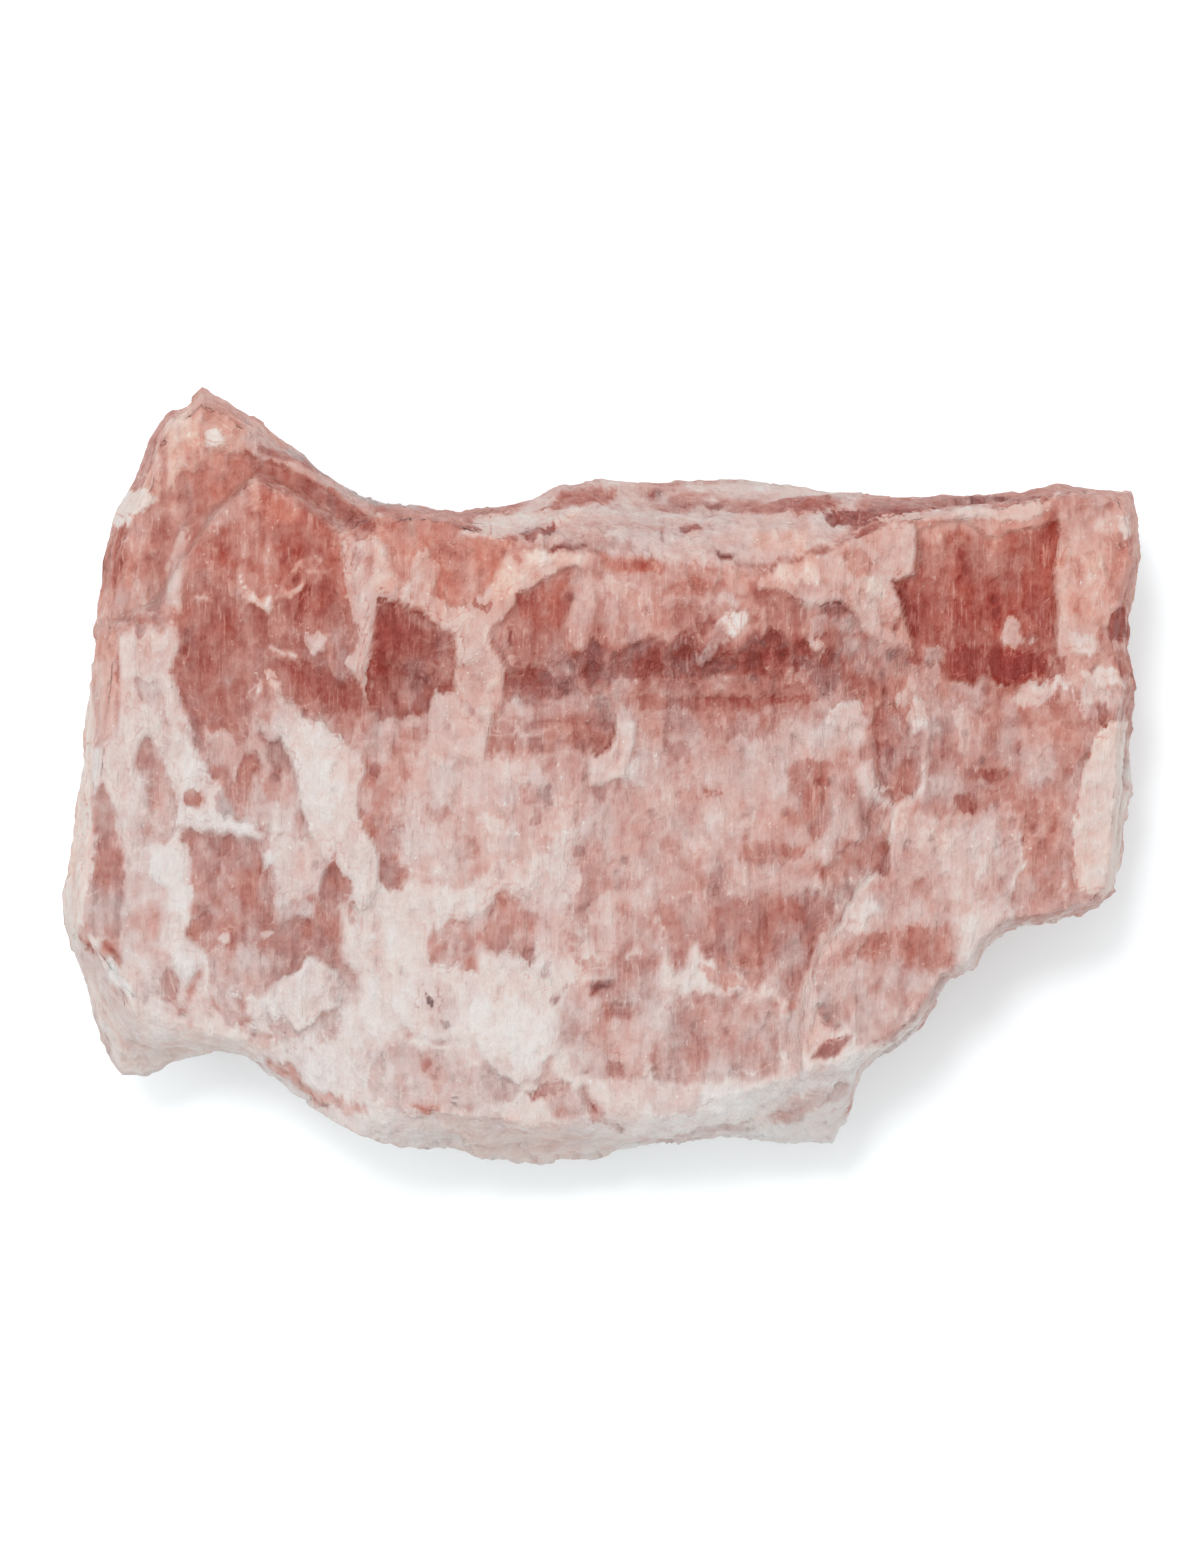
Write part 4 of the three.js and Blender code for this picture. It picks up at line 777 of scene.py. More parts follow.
    (0.36, 0, -0.1, 0.3, [(-30, -5.3), (-28.6, -5.4), (-28.6, -6.6), (-30, -6.3)]),
    (0.33, 0, -0.1, 0.5, [(-34.2, -12.8), (-33.4, -11.4), (-32.2, -11.2), (-32.2, -12.8),
        (-33.4, -13.4)]),
    (0.5, 0.2, 0, 0.6, [(-31.8, -7.6), (-29.6, -7.2), (-28.8, -8.8), (-30.6, -9.2)]),
    (0.31, 0, -0.1, 0.4, [(-28.4, -11.6), (-27, -11.4), (-26.4, -12.8), (-27.6, -13.4)]),
    (0.36, 0, 0, 0.35, [(-28, -7.6), (-27.3, -7.8), (-27.3, -9.4), (-28, -9.2)]),
    (0.34, -0.1, -0.1, 0.4, [(-23.4, -12.8), (-22.2, -13), (-21.8, -15), (-22.8, -15)]),
    (0.52, -0.2, 0, 0.35, [(-21.4, -15.4), (-20.4, -16.4), (-20.2, -18.4), (-21, -18), (-21.6, -16.6)]),
    (0.85, 0.1, 0.25, 0.18, [(-31.8, -13), (-31, -12.9), (-30.8, -13.8), (-31.6, -14)]),
    (0.72, 0.1, 0.2, 0.18, [(-28.4, -13), (-27.2, -12.9), (-27, -13.4), (-28, -13.6)]),
    (0.77, 0, 0.1, 0.5, [(-27.4, -4.8), (-24.2, -5), (-22.6, -6.8), (-23.4, -9.6), (-24.6, -10.2),
        (-26.8, -10.4), (-27, -7.6)]),
    (0.82, -0.3, 0.2, 0.25, [(-28, -6.2), (-27.2, -6), (-27, -7.2), (-27.8, -7.4)]),
    (0.66, -0.1, 0, 0.4, [(-26.6, -10.4), (-24.8, -10.2), (-23.6, -10.6), (-24, -11.8), (-26.2, -11.8)]),
    (0.42, 0, -0.4, 0.2, [(-22.3, -6), (-22, -7.2), (-21.4, -8), (-20.7, -8.4), (-20.6, -9.6),
        (-21.2, -10.6), (-22.6, -10.6), (-23.5, -9.8), (-23, -8.8), (-22.5, -7.6)]),
    (0.5, -0.1, -0.2, 0.25, [(-23.4, -10.2), (-22.4, -10.4), (-22.2, -11.4), (-23.2, -11.4)]),
    (0.5, -0.2, -0.15, 0.15, [(-20.9, -10.4), (-20.5, -10.4), (-20.4, -12.6), (-20.9, -12.2)]),
    (0.86, 0, 0.4, 0.2, [(-27.2, -17.6), (-26.4, -16.6), (-25.2, -16), (-24.6, -15.2), (-23.7, -14.8),
        (-23, -15.6), (-22, -16.2), (-21.4, -17), (-21.6, -18.6), (-22.4, -19.2), (-23.4, -19.8),
        (-24.4, -20.5), (-25, -21.2), (-25.8, -20.8), (-26.6, -19.4)]),
    (0.7, 0.1, 0, 0.35, [(-23.4, -15.6), (-21.6, -16.8), (-21.4, -18.6), (-22.6, -18.8), (-22.8, -17)]),
    (0.56, -0.1, -0.2, 0.35, [(-24.4, -20.7), (-23, -20), (-21.6, -19.4), (-21.4, -20.8), (-23, -21.8),
        (-25, -22.2), (-26.4, -21.8), (-27.6, -20.4), (-27.8, -18.8), (-26.8, -20), (-25.6, -21.2)]),
    (0.78, 0.1, 0.1, 0.25, [(-29.6, -18.4), (-28.8, -18.2), (-28, -19.4), (-27.6, -20.6), (-28.6, -20.6),
        (-29.2, -19.6)]),
    (0.97, 0, 0.3, 0.14, [(-30.5, -18), (-30, -18), (-29.9, -18.5), (-30.4, -18.5)]),
    # the bottom bevel's left
    (0.84, -0.2, 0, 0.9, [(-29, -21.8), (-26, -22), (-20, -21), (-19.4, -26), (-17, -30), (-21, -30.4),
        (-27, -27)]),
    (0.62, 0.5, -0.1, 0.4, [(-27.6, -23.2), (-26, -24), (-24, -25.2), (-21.6, -26.8), (-19.4, -27.8),
        (-19, -28.6), (-21, -28.2), (-23.6, -26.8), (-26, -25.2), (-27.8, -24.2)]),
    (0.64, -0.1, 0, 0.8, [(-19.6, -22.6), (-16, -22.2), (-13, -22.8), (-9, -25), (-8, -27.4), (-13, -27.6),
        (-17, -27), (-19.2, -25)]),
    (0.66, 0, 0, 0.4, [(-17, -23.2), (-15.6, -23), (-15.2, -25), (-16.8, -25.2)]),
    (0.63, -0.4, 0, 0.4, [(-19.4, -25), (-18.2, -25.2), (-17.8, -26.6), (-19, -26.4)]),
    (0.47, 0, -0.15, 0.3, [(-15.1, -22.8), (-14.2, -22.8), (-14.1, -24.2), (-14.9, -24.1)]),
    (0.86, 0, 0, 1, [(-20, -28.6), (-16, -28), (-9, -27.8), (-4, -28.4), (0.4, -29.6), (0, -33),
        (-18, -32)]),
    (0.84, 0.5, 0, 0.9, [(-14, -27.8), (-9, -28.4), (-4, -28.6), (-1, -30), (-2, -32.6), (-11, -32)]),
    (0.74, 0, 0, 0.5, [(-10, -27.6), (-8, -27.4), (-7.6, -29.6), (-9.6, -29.8)]),
    (0.76, 0, 0, 0.5, [(-3.4, -29), (-0.8, -29), (-0.8, -31.2), (-3, -31)]),
    (0.57, -0.1, -0.15, 0.35, [(-10, -24.6), (-8, -25.2), (-7, -26), (-7.4, -27.2), (-8.6, -26.8),
        (-9.6, -25.8)]),
    (0.43, 0.05, -0.25, 0.3, [(-6.4, -26.4), (-5, -25.6), (-3.4, -25), (-2.6, -25.2), (-3, -26.2),
        (-5, -26.6)]),
    (0.62, 0, -0.1, 0.35, [(-4.4, -26.4), (-2.8, -26.4), (-2.4, -27.6), (-3.8, -27.6)]),
    (0.54, 0.1, -0.15, 0.3, [(-1.8, -26.2), (-0.8, -26.9), (0, -28), (0.4, -28.9), (-0.8, -28.5),
        (-1.6, -27.4)]),
    (0.86, 0.6, 0, 0.9, [(-43.4, -16.6), (-40, -18), (-36, -20), (-31, -20.8), (-27, -22), (-29, -24),
        (-36, -24.4), (-41, -25.4)]),
    (0.8, 0.25, 0, 0.6, [(-40.4, -18.6), (-38.4, -19.4), (-38.2, -22), (-40, -22.6)]),
    # the platform's red patches
    (0.63, 0, 0, 1.2, [(3, 5.6), (14, 6), (18, 3.6), (16.4, 1.8), (21, 1.4), (21, -5), (18.6, -8.8),
        (12, -9.8), (6, -11), (0, -11), (0, -3), (3, 0)]),
    (0.46, 0, 0, 0.7, [(3, 6.8), (16, 6.4), (14.6, 3.2), (10, 3.2), (5, 3.4), (3.2, 3.6)]),
    (0.3, 0.1, -0.2, 0.3, [(3, 6.9), (7, 6.7), (14, 6.6), (14.4, 5.8), (12, 5.5), (7, 5.6), (3.2, 5.4)]),
    (0.24, 0.3, -0.1, 0.2, [(8, 6.5), (14, 6.5), (17.6, 6.8), (18, 6.3), (14, 5.9), (8, 6)]),
    (0.45, 0, 0, 0.5, [(5.2, 2.8), (7, 3), (7.4, 1.4), (5.6, 1)]),
    (0.7, 0.2, 0, 0.5, [(5.2, -1.2), (6.8, -1.2), (6.8, -2.8), (5.4, -2.8)]),
    (0.35, 0, -0.2, 0.2, [(8.4, -1.2), (10, -1), (10.2, -1.6), (8.8, -1.9)]),
    (0.74, 0.1, 0.05, 0.6, [(9.4, -2.6), (11.4, -2.8), (13.4, -3.6), (13, -4.6), (11, -4.4), (9.6, -4)]),
    (0.82, 0.3, 0.05, 0.4, [(7, -5.2), (8.8, -5), (9.2, -6.2), (8, -6.8), (7, -6.4)]),
    (0.48, 0, 0, 0.4, [(5.2, -5.2), (6.6, -5.4), (6.4, -6.8), (5.2, -6.6)]),
    (0.46, 0, 0, 0.6, [(11.4, -5.2), (14, -5), (15.4, -6), (14, -7.2), (11.6, -7)]),
    (0.47, 0, 0, 0.6, [(7.2, -7.4), (10.8, -7.2), (11, -8.8), (8, -9.2)]),
    (0.7, 0, 0, 0.4, [(13, -7.4), (15, -7.2), (14.8, -8.8), (12.8, -8.6)]),
    (0.66, 0, 0, 0.8, [(3, -7.4), (6.6, -7.6), (7, -10.8), (3, -11)]),
    (0.3, -0.2, -0.2, 0.25, [(9, -9), (9.8, -9), (9.8, -10.4), (9, -10.4)]),
    (0.52, 0, 0, 0.6, [(0, -8), (2, -8), (3.6, -9), (2, -9.6), (0, -9.4)]),
    (0.45, 0, -0.2, 0.3, [(-2.2, -5.8), (-1.2, -5.8), (-1.2, -6.8), (-2.2, -6.8)]),
    (0.4, 0.2, -0.1, 0.5, [(15.4, 1.2), (17, 1.4), (18.8, 1.2), (19, -1), (18.8, -4.6), (17.4, -5.6),
        (16.6, -3), (15.6, -1)]),
    (0.5, 0.1, 0, 0.5, [(19, 1.2), (21, 1), (21.2, -2), (20, -3), (19, -2.4)]),
    (0.55, 0, 0, 0.5, [(15.2, -1.4), (16.6, -1.4), (17, -4.4), (15.6, -4.6)]),
    (0.38, 0.2, -0.05, 0.4, [(14.6, -6), (17, -6), (16.6, -7.2), (14.8, -7)]),
    (0.66, -0.3, 0.1, 0.35, [(16.4, -6.8), (17.4, -5.9), (19, -6), (18.8, -7), (17, -7.2)]),
    (0.64, 0, 0, 0.5, [(19.2, -3.4), (20.8, -3.4), (20.8, -4.8), (19.4, -4.8)]),
    (0.45, 0, 0, 0.4, [(19, -5.2), (21, -5.2), (20.8, -6.6), (19.2, -6.6)]),
    (0.6, 0, 0, 0.4, [(16.6, -7.6), (18, -7.4), (18, -8.6), (16.8, -8.6)]),
    (0.28, 0, -0.15, 0.4, [(18, -7.4), (20, -7.2), (20.4, -8.6), (18.4, -8.8)]),
    (0.82, 0, 0.4, 0.25, [(18.2, 4.2), (18.8, 5.2), (19.8, 6), (21.4, 6.4), (21.8, 5.2), (22.4, 4.6),
        (21, 4.2), (20.2, 3.6), (19.2, 3.7)]),
    (0.68, 0, 0.2, 0.35, [(16.4, 3.6), (18.4, 4), (20.4, 3.6), (20.8, 2.6), (19.6, 2.2), (18.4, 2),
        (17, 2.6)]),
    # the hollow left of the scarp, dented in by the lifts; its dark patches are painted shade in the hollow
    (0.42, 0, -0.5, 0.35, [(22.6, 5.6), (23.4, 6.2), (24.8, 6.2), (25.2, 4.4), (25.4, 2.6), (26.4, 2.2),
        (26.4, 0), (26, -1.6), (24.4, -2.2), (23.4, -1.6), (22.8, -0.6), (22.6, 1), (22.2, 2.8)]),
    (0.28, -0.05, -0.2, 0.3, [(22.4, 2.8), (23.6, 3), (24.4, 2.4), (24.6, 0.4), (24, 0.2), (23.4, 1.6),
        (22.6, 1.8)]),
    (0.76, -0.05, 0.1, 0.3, [(24.6, 7.4), (25.4, 7), (25.4, 6), (24.6, 6.2)]),
    (0.8, 0, 0.3, 0.25, [(25.6, 6.2), (25.8, 7.2), (26.6, 6.2), (27.2, 4.8), (26.8, 3.8), (25.8, 3.6),
        (25.4, 4.8)]),
    (0.74, 0, 0.3, 0.2, [(21.9, 1.2), (22.5, 1), (22.6, 0), (23.2, -0.8), (24.2, -0.8), (23.6, -1.6),
        (22.8, -2), (22.2, -1.4), (22, -0.2)]),
    (0.5, 0, -0.4, 0.35, [(20.6, -5.8), (21.6, -5), (22, -3.2), (22.4, -2), (23.4, -2.2), (23.6, -3),
        (23.4, -4.6), (24, -6), (23.9, -7), (23.4, -8), (22, -8), (21, -9), (20.4, -10.6), (19.6, -12),
        (18.8, -11.4), (19, -10), (18.6, -8.8), (18.4, -7.4), (19.4, -6.8)]),
    (0.34, -0.05, -0.2, 0.3, [(23.2, -5.4), (23.9, -5.8), (23.9, -7.2), (23.4, -8), (22.8, -7.8),
        (23, -6.6)]),
    (0.38, 0, -0.2, 0.35, [(19.4, -8.6), (20.6, -9.2), (20.2, -10.8), (19.4, -10)]),
    (0.68, 0, 0.15, 0.25, [(23.2, -3.2), (23.9, -3.4), (24.1, -4.6), (23.2, -4.8)]),
    # the platform's lower reds
    (0.62, 0, 0, 0.9, [(-3, -17.4), (0, -16.8), (3, -15.4), (4.6, -14.8), (5, -18), (4.4, -21),
        (3.6, -25), (0, -25), (-2, -24.6), (-3.1, -22)]),
    (0.76, 0, 0, 0.6, [(-1.2, -10.8), (1, -9), (1.4, -14.8), (-1, -15)]),
    (0.66, 0, 0, 0.6, [(1, -11.4), (3, -11.6), (3, -13), (1.4, -13)]),
    (0.53, 0, -0.1, 0.4, [(-2.8, -13), (-1.4, -13.2), (-1.4, -14.8), (-2.6, -14.8)]),
    (0.56, 0, 0, 0.5, [(-2, -15), (0.6, -15.4), (2, -15.2), (1.6, -16.6), (-1.4, -16.6)]),
    (0.46, 0, -0.1, 0.5, [(1.8, -15), (5, -14.4), (4.4, -18), (0.4, -18.6), (-1.2, -18.2), (-1.2, -17.2),
        (0.8, -16.8)]),
    (0.36, -0.2, -0.2, 0.2, [(-1.2, -17.4), (0, -17), (0.8, -16.9), (0.2, -17.5), (-0.8, -17.9)]),
    (0.39, 0.1, -0.1, 0.35, [(0, -18.8), (2.6, -18.8), (3.4, -19.4), (2, -20), (0.2, -20)]),
    (0.72, 0.1, 0, 0.6, [(0.6, -20.4), (3.4, -20.2), (4, -22), (3.8, -24.8), (1.8, -24), (0.4, -23)]),
    (0.52, -0.2, 0, 0.4, [(-2.9, -19), (-1.4, -19), (-1.2, -21.8), (-2.8, -22)]),
    (0.69, 0, 0, 0.4, [(-2.8, -22.4), (-1.2, -22.4), (-1.2, -24.8), (-2.4, -24.6)]),
    (0.44, 0.1, -0.1, 0.35, [(0.2, -23.8), (1.8, -23.8), (1.9, -24.9), (0.4, -25)]),
    (0.8, 0, 0, 0.8, [(0.6, -25.2), (4, -25.2), (4.4, -28), (1.2, -28.6)]),
    (0.52, 0, 0, 0.5, [(3, -12.4), (5, -12.4), (5, -15), (3.4, -15)]),
    (0.5, 0, -0.25, 0.7, [(4.8, -10.8), (8, -10.4), (9, -8.8), (12, -9.2), (18.4, -9.4), (20.4, -9.4),
        (20.6, -10.6), (19.6, -12), (18.2, -13.4), (17.6, -14.6), (17, -16.4), (16, -18.6), (15, -18.4),
        (14.6, -17.6), (13.4, -17), (12.6, -17.8), (11.4, -16.4), (10, -16.2), (9.4, -15.4), (8.6, -15.4),
        (8.2, -14), (7.6, -14), (7.2, -15.6), (6.4, -16), (5.6, -15), (5, -13)]),
    (0.38, 0.1, -0.15, 0.5, [(8.6, -13), (9, -11), (11, -10), (14, -10.2), (19.8, -10), (18.6, -12.4),
        (16.6, -13), (16, -15), (12, -16), (9.6, -15.2), (8.4, -14.4)]),
    (0.33, 0.1, -0.05, 0.6, [(12, -10.8), (14.6, -10.8), (15, -14), (13, -14.6), (12, -13)]),
    (0.28, 0.2, 0, 0.4, [(15.4, -10.4), (17.2, -10.6), (16.8, -12.4), (15.6, -12)]),
    (0.5, 0, 0, 0.5, [(13.2, -14.8), (15, -15), (14.8, -16.2), (13.4, -16.2)]),
    (0.44, 0, 0, 0.5, [(15.4, -13.2), (17.4, -13.2), (16.8, -16.8), (15.4, -16.4)]),
    (0.6, 0, 0.05, 0.3, [(13.4, -16.6), (14.6, -16.4), (14.8, -17.4), (13.6, -17.6)]),
    (0.3, 0, -0.1, 0.2, [(17.2, -14.2), (17.7, -14), (17.2, -15.8), (16.8, -16)]),
    (0.28, 0, -0.1, 0.3, [(8.4, -14.2), (9.2, -14), (9.2, -15.4), (8.6, -15.4)]),
    (0.34, 0, -0.1, 0.3, [(5.8, -14.2), (6.8, -14), (7, -15.6), (6, -15.4)]),
    (0.85, 0.1, 0.15, 0.14, [(11.8, -10.1), (12.3, -10.1), (12.3, -10.6), (11.9, -10.6)]),
    (0.55, 0, -0.1, 0.6, [(4.2, -20.4), (5.4, -19), (7, -18.2), (11, -18), (14.4, -18.4), (14.8, -20.4),
        (15, -24.4), (14, -25.2), (10, -25.2), (8, -25.6), (4.8, -25.4), (4, -23.4)]),
    (0.44, 0, -0.1, 0.4, [(6.6, -18.2), (10, -18.2), (10, -19), (6.8, -19.2)]),
    (0.42, 0, -0.1, 0.5, [(7, -21.4), (8.8, -21.4), (8.8, -24.8), (7.2, -25)]),
    (0.42, -0.1, -0.15, 0.25, [(4, -22), (4.6, -22), (5, -25), (4.3, -25.2), (4, -23)]),
    (0.63, 0, 0.05, 0.4, [(9.2, -19.6), (12.6, -19.4), (12.8, -20.6), (10.2, -21), (10, -24.6),
        (9.3, -24.6)]),
    (0.46, -0.1, 0, 0.35, [(13.2, -18.8), (15, -18.8), (14.8, -20), (13.6, -20)]),
    (0.7, 0, 0, 0.6, [(14.4, -20.2), (16.4, -19), (17, -22), (15.8, -23.6), (14.8, -23)]),
    (0.66, 0, 0, 0.6, [(3.4, -19.6), (4.8, -20.4), (4, -22.8), (3, -22.6)]),
    (0.83, -0.1, 0.2, 0.3, [(5.4, -15.8), (6.4, -16.2), (7.8, -15.4), (8.1, -16.2), (7.2, -17.2),
        (6, -17.8), (5.4, -16.8)]),
    (0.62, 0.3, 0.1, 0.4, [(8.2, -15.8), (9.6, -16), (11.4, -16.6), (12, -17.6), (9, -17.2)]),
    (0.76, -0.1, 0.15, 0.35, [(16.6, -18.4), (17.6, -17.6), (18, -19), (17.6, -20.6), (16.8, -22.6),
        (15.8, -22.4), (15.6, -20)]),
    (0.7, 0, 0.05, 0.5, [(3.8, -2), (5.4, -2), (5.4, -4), (3.8, -4)]),
    # right of the scarp
    (0.67, 0, 0, 0.5, [(24.6, -2.6), (27, -3.2), (31.4, -3.2), (33.4, -2.8), (34.6, -4), (34.8, -7),
        (33.8, -8.4), (34, -11), (33.6, -13), (31.6, -15.6), (28.6, -17.2), (26.6, -20.2), (22, -22.4),
        (20.6, -20.6), (17.6, -18.6), (18.4, -15), (20.4, -12), (21.6, -9.4), (24.2, -7.8), (24.2, -5)]),
    (0.8, 0, 0.15, 0.6, [(25, -3), (27, -4.2), (30, -4.4), (33, -3.4), (32, -5), (31.8, -8.2), (30, -8.6),
        (28.4, -7.6), (28, -5.4), (25.4, -5.8), (24.6, -4.6)]),
    (0.6, 0.1, 0, 0.8, [(24.6, -6.4), (27.6, -6.4), (28.2, -9), (28, -11.4), (24, -11.4), (22.4, -10)]),
    (0.48, 0.15, 0, 0.5, [(25.6, -8.4), (27.4, -8.2), (27.4, -10), (25.4, -10)]),
    (0.78, 0, 0.1, 0.35, [(28.6, -8.2), (32, -8.4), (33.6, -11.6), (32, -14.6), (30, -16.6),
        (29.4, -14)]),
    (0.54, -0.2, -0.2, 0.35, [(32.2, -5.4), (33.4, -5.4), (34, -8.4), (33.6, -10.2), (32.2, -9.8),
        (32.4, -7)]),
    (0.62, 0, 0, 0.5, [(31, -8.6), (32.4, -9), (32.6, -11), (31, -10.6)]),
    (0.8, 0.2, 0, 0.6, [(19.6, -10.4), (22.6, -10.4), (23.6, -12), (22, -12.8), (20, -12.8)]),
    (0.57, 0, 0, 1.2, [(18, -14), (30, -13), (29, -17), (24, -20.8), (19, -21), (17.6, -17)]),
    (0.76, 0.1, 0.1, 0.4, [(17.9, -13.2), (19.6, -12.8), (20, -14.4), (18.2, -15.2)]),
    (0.44, 0, -0.1, 0.5, [(20, -13.4), (22, -13.2), (24.2, -12.8), (24, -14.6), (20.2, -15)]),
    (0.43, 0.2, 0, 0.7, [(25, -12.4), (29, -12), (29.2, -16), (25, -15.8)]),
    (0.7, 0, 0, 0.5, [(21.4, -15.4), (23.4, -15.4), (23, -17), (21.4, -16.8)]),
    (0.64, -0.3, 0, 0.6, [(25.2, -16.4), (28.6, -16.4), (27.6, -18), (25.4, -17.8)]),
    (0.86, 0, 0.1, 0.5, [(29.4, -11), (31.2, -11), (31.2, -13), (29.6, -13)]),
    (0.46, -0.1, -0.1, 0.5, [(18.2, -18.8), (20.6, -19), (20.8, -20.6), (18.2, -21)]),
    (0.3, -0.1, -0.2, 0.4, [(17.4, -23.5), (18.3, -22.4), (19.5, -21.8), (20.7, -21.4), (20.3, -22.5),
        (19, -23.4)]),
    (0.62, 0, 0, 0.5, [(21, -19.4), (23, -19.2), (22.6, -22.4), (21, -22.2)]),
    (0.53, 0, 0, 0.5, [(23.2, -19.8), (25, -19.6), (24.4, -21.8), (23, -22)]),
    # under the window: the lilac block and the red column
    (0.5, -0.1, -0.1, 0.4, [(26.8, 7.4), (29, 7.6), (33, 7.5), (34.6, 5.6), (35, 3.4), (34.8, 1),
        (34.2, -0.6), (33.6, -2.2), (31.6, -2.6), (29, -3.1), (26.8, -3.1), (26.9, -1), (27.1, 3)]),
    (0.7, 0, 0.15, 0.3, [(29, 5.6), (30.2, 6), (30.8, 4.4), (30.4, 2.4), (29.6, 1.8), (29.2, 3.6)]),
    (0.6, -0.1, 0, 0.3, [(30.8, 7.4), (31.6, 7.4), (31.6, 5.8), (30.8, 5.8)]),
    (0.38, 0, -0.15, 0.5, [(31.6, 7.4), (33.4, 7.4), (33.2, 3.4), (32.6, 2), (31.6, 2.4)]),
    (0.36, 0, -0.1, 0.5, [(27.2, 3.6), (28.4, 3.2), (28.2, 0.4), (27.2, 0.6)]),
    (0.34, 0, -0.1, 0.3, [(34.2, 3.2), (35, 3.2), (34.9, 1.8), (34.3, 1.8)]),
    (0.58, -0.2, 0, 0.6, [(27, 0), (29.8, 0), (30, -1), (27, -1.6)]),
    (0.3, -0.05, -0.3, 0.25, [(31, 0.2), (32.6, 0.5), (33.8, 0.6), (33.8, -0.4), (32.4, -0.4),
        (31, -0.3)]),
    (0.26, 0.1, -0.3, 0.25, [(29.2, -1.8), (30.2, -1.4), (30.8, -2), (31.4, -2.6), (31.2, -3),
        (29.4, -3)]),
    (0.66, -0.1, 0.1, 0.3, [(31.8, -2.4), (33.8, -2), (34.6, -3.4), (31.8, -3.6)]),
    (0.82, 0, 0.2, 0.3, [(34.2, 6.6), (35.2, 7.7), (37.2, 7.5), (37, 6.4), (36, 6.2), (35, 5.8)]),
    (0.62, 0.1, 0.05, 0.5, [(34.8, 4.4), (36.6, 4.2), (37.4, 3), (37.4, 0.2), (35, -0.2)]),
    (0.72, 0.1, 0.05, 0.3, [(36.4, 2.8), (37.2, 2.8), (37.6, -0.4), (36.4, -0.4)]),
    (0.46, 0.3, -0.05, 0.4, [(37.6, 7.2), (38.6, 7.4), (39.6, 7), (39.8, 5.4), (40.8, 3.8), (39.6, 2),
        (39, 0.6), (38.2, 0), (37.6, 2), (37.4, 4), (37, 5.2), (36.2, 6), (36.2, 4.6)]),
    (0.54, 0.25, -0.2, 0.3, [(35, -0.6), (36.6, -0.4), (38, -0.4), (38.8, -1.6), (38.8, -3.6), (38.4, -5.6),
        (38.6, -8), (38.4, -9.4), (40.6, -10), (38.8, -11.4), (36.4, -12.4), (34.6, -12.2), (33.8, -10),
        (34.2, -8.6), (35.2, -7), (35, -5), (35, -3)]),
    (0.42, 0.2, -0.1, 0.35, [(35, -1), (36, -1), (36.6, -3.6), (35.6, -4.4), (35.1, -3)]),
    (0.45, 0.2, -0.05, 0.3, [(36.8, -2), (37.8, -2.4), (37.6, -6), (36.8, -6)]),
    (0.62, 0.1, 0.1, 0.35, [(38.2, -0.6), (39.2, 0.8), (39.4, -2), (38.6, -3)]),
    (0.88, 0.05, 0.1, 0.4, [(39.8, 8.6), (42.6, 9), (43.6, 7), (41.6, 6.6), (40, 6.4)]),
    (0.9, 0.5, 0.4, 0.22, [(40.2, 1.4), (41, 3.4), (42, 4.6), (44.4, 4.4), (44.4, -2), (44, -6),
        (43.8, -9.6), (41.6, -9.8), (39.6, -9.4), (39.2, -7.6), (39.2, -4), (39.4, -0.8)]),
    (0.6, 0, 0.1, 0.5, [(42.2, 7), (44.8, 7.4), (44.6, 4.2), (42.4, 4.4)]),
    (0.28, -0.1, -0.3, 0.22, [(41.3, 5.9), (41.9, 6.2), (42.1, 5.4), (41.9, 4), (41.3, 3.8),
        (41.2, 4.8)]),
    (0.56, 0, 0, 0.4, [(38.6, -10), (41, -10), (43, -10), (41.4, -11.4), (38.6, -12.2)]),
    # the far bevel's layers
    (0.74, -0.4, 0, 0.8, [(-9, 21), (-6, 23.4), (-3, 24.8), (3, 24.8), (12, 25.4), (22, 24), (20, 19.4),
        (12, 17), (5, 18), (-2, 18.8), (-6, 19.2)]),
    (0.86, 0, 0.05, 0.5, [(-12, 20), (-10, 21.8), (-6.6, 22.6), (-3.8, 22.4), (-4.2, 21.2), (-7, 20.6),
        (-8, 19.8)]),
    (0.9, 0.2, 0.1, 0.3, [(-5, 21.4), (-2.4, 22.4), (-1.4, 22.3), (-2.4, 21.2), (-4, 20.9)]),
    (0.3, -0.5, -0.2, 0.22, [(-11.6, 20.8), (-10.4, 20.9), (-9.8, 20.5), (-10, 20.2)]),
    (0.22, -0.4, -0.3, 0.22, [(-6.6, 20), (-5.6, 20.5), (-4.6, 20.7), (-4, 21), (-4.1, 20.4), (-5, 19.9),
        (-6, 19.5)]),
    (0.5, -0.3, 0, 0.5, [(-3, 19.8), (0, 20), (3, 19.6), (2.4, 18.5), (-1, 18.6), (-4, 18.8)]),
    (0.36, -0.3, -0.2, 0.18, [(-4.2, 19.1), (-1, 19.2), (-1.2, 18.8), (-4, 18.8)]),
    (0.36, 0.2, -0.1, 0.25, [(-5.4, 22.7), (-4.2, 23.3), (-2.4, 24), (-0.6, 24.4), (1.2, 24.3), (1.2, 23.8),
        (0.2, 23), (-1, 22.6), (-3.4, 22.4)]),
    (0.2, 0.2, -0.1, 0.3, [(-3.2, 23.4), (-0.8, 23.8), (-0.2, 23), (-2.6, 22.8)]),
    (0.58, -0.4, 0.05, 0.3, [(-3.2, 24.2), (-1.8, 24.6), (0, 24.8), (-0.6, 24.4), (-2.6, 24)]),
    (0.86, -0.2, 0.05, 0.4, [(-1, 24.9), (2.6, 24.9), (3, 24.3), (0.6, 24.3)]),
    (0.46, -0.4, -0.05, 0.3, [(3.4, 24), (4.4, 24.4), (6.6, 24.7), (6.4, 23.8), (4.6, 23.5)]),
